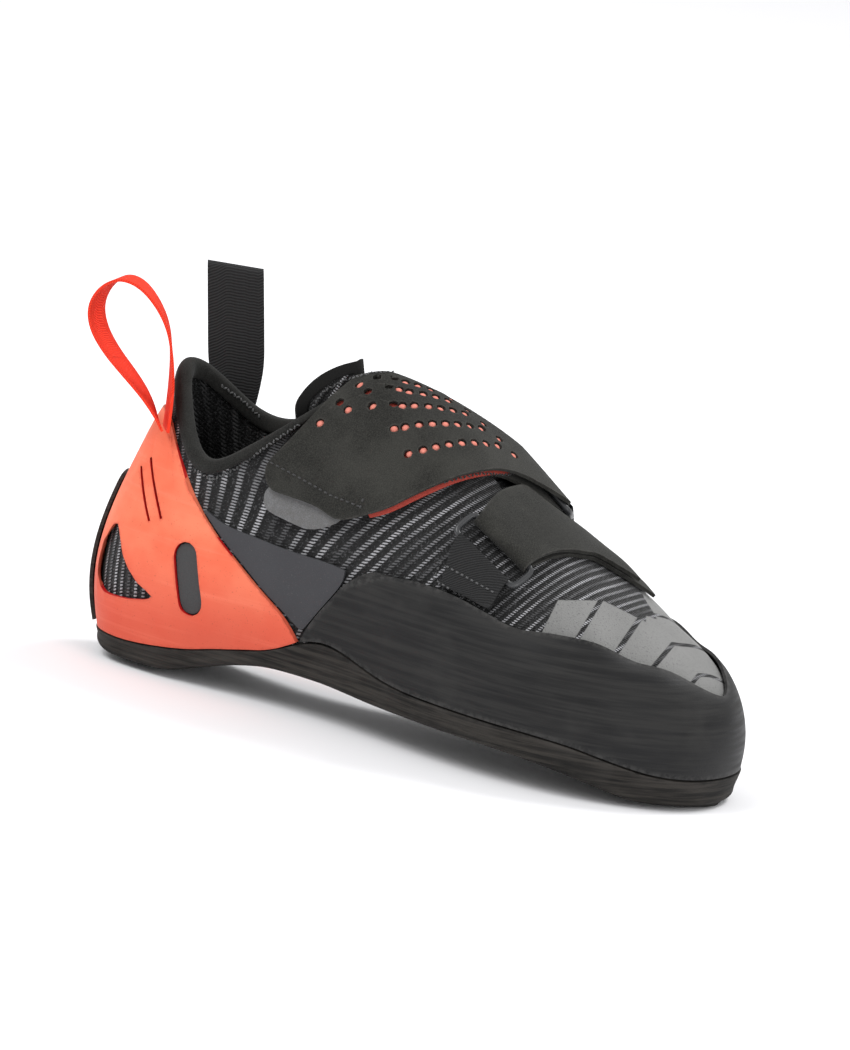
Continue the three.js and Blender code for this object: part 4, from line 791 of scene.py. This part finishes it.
upper = worn["upper"]
points = points_of(upper)
mirrored = points.copy()
mirrored[:, 1] = np.minimum(points[:, 1], 2 * FOREFOOT_MIDDLE - points[:, 1])
seen = pixels_of(mirrored)
store(upper, "photo_x", seen[:, 0])
store(upper, "photo_y", seen[:, 1])
slit_line = ((SLITS_LOW[0], SLITS_HIGH[1]), (SLITS_HIGH[0] - 0.012, SLITS_LOW[1]))
under_slits = segment_distance(points[:, [0, 2]], *slit_line) < SLIT_BAND
store(upper, "slit", under_slits.astype(float))

middle = np.stack([np.clip(points[:, 0], 0.02, 0.16), np.full(len(points), 0.0), np.full(len(points), 0.04)], axis=1)
outward = np.einsum("ij,ij->i", normals_of(upper), points - middle)
store(upper, "inner", (outward < 0).astype(float))

tongue = worn["tongue"]
store(tongue, "wedge", inside_distance(pixels_of(points_of(tongue)), WEDGE_OUTLINE))
store_rim_distance(tongue, 60.0, lambda p: p.z > 0.098)
print("inner vertices:", int((outward < 0).sum()), "of", len(points))

# %% Length along each tape
RUN_STARTS = {
    "heel_loop_orange": lambda p: p[0] > 0.0015 and p[1] < -0.0205,
    "heel_loop_black": lambda p: p[2] < 0.0765,
    "lower_ring_keeper": lambda p: p[2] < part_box("lower_ring_keeper")[0][2] + 0.002,
    "upper_ring_keeper": lambda p: p[2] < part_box("upper_ring_keeper")[0][2] + 0.002,
    "pull_tab": lambda p: p[0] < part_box("pull_tab")[0][0] + 0.002,
}
for node, at_start in RUN_STARTS.items():
    print(node, "runs", round(1000 * store_run(worn[node], at_start)), "mm")

# %% [markdown]
# The window, slot and slits of the heel cup show a red cut edge. Those are the cup's side walls
# inside its holes, so their faces get a second material.

# %% Red edges in the heel cup
cup = worn["heel_cup"]
cup.data.materials.append(finishes["cup edge"])
HOLES_LOW = (-0.021, 0.0215)
HOLES_HIGH = (0.036, 0.053)
red = 0
for face in cup.data.polygons:
    x, y, z = face.center
    near_hole = HOLES_LOW[0] < x < HOLES_HIGH[0] and HOLES_LOW[1] < z < HOLES_HIGH[1]
    near_slit = SLITS_LOW[0] < x < SLITS_HIGH[0] and SLITS_LOW[1] < z < SLITS_HIGH[1]
    out_there = Vector((min(x, 0.0) * 1.6, y, 0.0)).normalized()
    if (near_hole or near_slit) and abs(face.normal.dot(out_there)) < 0.55:
        face.material_index = 1
        red += 1
print("red faces:", red)

# %% [markdown]
# The knit isn't quite smooth: it has soft creases where the forefoot flexes in front of the lower
# strap, and shallow hollows under the collar. Each is a trough along a short line in the shoe's own
# sizes, pressed into the outer skin with a soft falloff.

# %% Creases of the upper
# side, from x and z, to x and z, half width and depth, all in mm
CREASES = [
    (-1, 138, 61, 129, 47, 3.4, 0.55),
    (-1, 147, 58, 140, 46, 3.0, 0.45),
    (1, 138, 62, 128, 50, 3.4, 0.5),
    (1, 148, 58, 141, 47, 3.0, 0.45),
    (-1, 30, 70, 44, 60, 5.0, 0.7),
    (-1, 52, 60, 70, 52, 4.5, 0.5),
    (1, 30, 72, 46, 62, 5.0, 0.7),
    (1, 56, 64, 84, 58, 5.0, 0.6),
    (1, 84, 74, 104, 60, 5.0, 0.6),
    (-1, 84, 56, 100, 64, 4.0, 0.45),
]
flat = points[:, [0, 2]] * 1000
move = np.zeros(len(points))
for side, x0, z0, x1, z1, half_width, depth in CREASES:
    near = segment_distance(flat, (x0, z0), (x1, z1)) / half_width
    move -= np.where(points[:, 1] * side > 0, depth * np.exp(-near * near), 0.0)
move = np.where(outward > 0, move, 0.0)
creased = points + normals_of(upper) * move[:, None] / 1000
upper.data.vertices.foreach_set("co", creased.ravel())
upper.data.update()
print("deepest crease:", round(float(-move.min()), 2), "mm")

# %% [markdown]
# Seams are rows of real stitches: one small capsule, copied along a path. The path is drawn over
# the photograph and laid on whatever surface shows there, and some rows are repeated on the far
# side, straight across the shoe. A zigzag row swings each stitch to the left and right.

# %% One stitch
STITCH_RADIUS = 0.00032
bpy.ops.object.select_all(action="DESELECT")
bpy.ops.mesh.primitive_cylinder_add(vertices=6, radius=1.0, depth=0.7, end_fill_type="NGON")
stitch = bpy.context.object
model = bmesh.new()
model.from_mesh(stitch.data)
ends = [face for face in model.faces if abs(face.normal.z) > 0.9]
bmesh.ops.inset_region(model, faces=ends, thickness=0.45)
for vert in model.verts:
    if abs(vert.co.z) > 0.3 and vert.co.xy.length < 0.7:
        vert.co.z *= 1.0 / 0.7
STITCH_POINTS = np.array([tuple(v.co) for v in model.verts])
STITCH_FACES = [[v.index for v in f.verts] for f in model.faces]
model.free()
bpy.data.objects.remove(stitch)
print("stitch faces:", len(STITCH_FACES))


# %% Rows of stitches
def scene_surface():
    """One tree of all that is worn, to lay seams on."""
    corners, faces = [], []
    for piece in worn.values():
        start = len(corners)
        corners.extend(piece.data.vertices[i].co.copy() for i in range(len(piece.data.vertices)))
        faces.extend([start + i for i in face.vertices] for face in piece.data.polygons)
    return BVHTree.FromPolygons(corners, faces)


surface = scene_surface()


def lay_on_photo(pixels):
    """Points and normals where a drawn line lies on the shoe."""
    found = []
    for first, last in zip(pixels, pixels[1:]):
        steps = max(2, int(math.dist(first, last) / 1.5))
        for step in range(steps):
            share = step / steps
            pixel = [a + (b - a) * share for a, b in zip(first, last)]
            line = sight_line(pixel)
            place, normal, _, _ = surface.ray_cast(eye, line)
            if place is not None:
                found.append((place, normal if normal.dot(line) < 0 else -normal))
    return found


def lay_from_far_side(path):
    """The same row on the inner side of the shoe."""
    found = []
    for place, _ in path:
        start = Vector((place.x, 0.2, place.z))
        hit, normal, _, _ = surface.ray_cast(start, Vector((0, -1, 0)))
        if hit is not None and hit.y > 0:
            found.append((hit, normal if normal.y > 0 else -normal))
    return found


def sew(name, path, slot, finish, pitch=2.4, length=1.7, swing=0.0, radius=STITCH_RADIUS):
    """A joined row of stitches along a path. Pitch, length and swing are in mm."""
    walked, places = 0.0, []
    for (a, normal), (b, _) in zip(path, path[1:]):
        gap = (b - a).length
        if gap > 0.006:
            continue
        while gap > 0 and walked <= gap:
            places.append((a.lerp(b, walked / gap), (b - a).normalized(), normal))
            walked += pitch / 1000
        walked -= gap
    corners, faces = [], []
    for number, (place, heading, normal) in enumerate(places):
        across = normal.cross(heading).normalized()
        side = (number % 2) * 2 - 1
        lengthwise = (heading + across * side * (1.1 if swing else 0.0)).normalized()
        centre = place + normal * radius * 0.55 + across * side * 0.0 * swing
        turn = Matrix((normal.cross(lengthwise), normal, lengthwise)).transposed()
        scale = np.array([radius, radius, length / 1400])
        start = len(corners)
        corners.extend((centre + turn @ Vector(p * scale))[:] for p in STITCH_POINTS)
        faces.extend([start + i for i in face] for face in STITCH_FACES)
    if not corners:
        return None
    name = name.replace(" ", "_")
    mesh = bpy.data.meshes.new(name)
    mesh.from_pydata(corners, [], faces)
    mesh.materials.append(finishes[finish])
    piece = bpy.data.objects.new(name, mesh)
    bpy.context.collection.objects.link(piece)
    only(piece)
    bpy.ops.object.shade_smooth()
    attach(piece, "root")
    return piece


# name, slot, thread, pitch, length, swing, far side too, line over the photograph
SEAMS = [
    ("Strap end seam", "strap_suede", "thread", 2.3, 1.6, 0, False, [(272, 463), (300, 478), (330, 495), (361, 507)]),
    ("Strap corner seam", "strap_suede", "thread", 2.3, 1.6, 0, False, [(361, 507), (364, 497)]),
    ("Collar seam", "binding_suede", "pale thread", 1.4, 1.7, 1, True,
     [(196, 470), (212, 480), (237, 468), (267, 446), (300, 424)]),
    ("Far collar seam", "binding_suede", "pale thread", 1.4, 1.7, 1, False, [(222, 386), (243, 401), (262, 419)]),
    ("Tongue lip seam", "tongue_padding", "pale thread", 1.4, 1.7, 1, False,
     [(314, 405), (324, 391), (345, 380), (372, 373), (396, 372)]),
    ("Base strap seam", "strap_suede", "thread", 1.5, 1.5, 1, False, [(445, 482), (480, 474), (515, 474)]),
    ("Keeper top seam", "black_webbing", "pale thread", 2.0, 1.4, 0, True, [(441, 563), (497, 594)]),
    ("Keeper foot seam", "black_webbing", "pale thread", 2.0, 1.4, 0, True, [(434, 579), (486, 611)]),
    ("Keeper side seam", "black_webbing", "pale thread", 2.0, 1.4, 0, True, [(441, 563), (434, 579)]),
]
for name, slot, thread, pitch, length, swing, twice, drawn in SEAMS:
    path = lay_on_photo(drawn)
    made = [sew(name, path, slot, thread, pitch, length, swing)]
    if twice:
        made.append(sew(name + " far", lay_from_far_side(path), slot, thread, pitch, length, swing))
    print(name, [len(p.data.polygons) if p else 0 for p in made])

# %% [markdown]
# A pale floor, an even white surround and two large soft lights give the look of the studio
# photograph, with a thin shadow under the arch.

# %% Floor and light
FLOOR_SIZE = 8.0
bpy.ops.object.select_all(action="DESELECT")
bpy.ops.mesh.primitive_plane_add(size=FLOOR_SIZE, location=(0, 0, -0.0002))
floor = bpy.context.object
floor.name = "Studio floor"
r, join = new_finish("Pale floor", 0.9)
floor.data.materials.append(join(Base_Color=r.mix(r.noise(r.place(), 3.0), grey(0.9), grey(0.92))))

world = bpy.data.worlds.new("Studio")
world.use_nodes = True
world.node_tree.nodes["Background"].inputs["Color"].default_value = (1, 1, 1, 1)
world.node_tree.nodes["Background"].inputs["Strength"].default_value = 0.75
bpy.context.scene.world = world
bpy.context.scene.view_settings.view_transform = "Standard"


def soft_light(name, place, size, watts):
    data = bpy.data.lights.new(name, "AREA")
    data.shape = "DISK"
    data.size = size
    data.energy = watts
    lamp = bpy.data.objects.new(name, data)
    target = Vector((0.09, 0, 0.05))
    lamp.matrix_world = Matrix.Translation(place) @ (Vector(place) - target).to_track_quat("Z", "Y").to_matrix().to_4x4()
    bpy.context.collection.objects.link(lamp)


soft_light("Key light", (-0.5, -0.9, 1.3), 1.0, 14.0)
soft_light("Back light", (0.5, 0.9, 1.3), 0.7, 14.0)
soft_light("Toe light", (1.3, -0.6, 0.5), 0.7, 4.0)
print("studio ready")
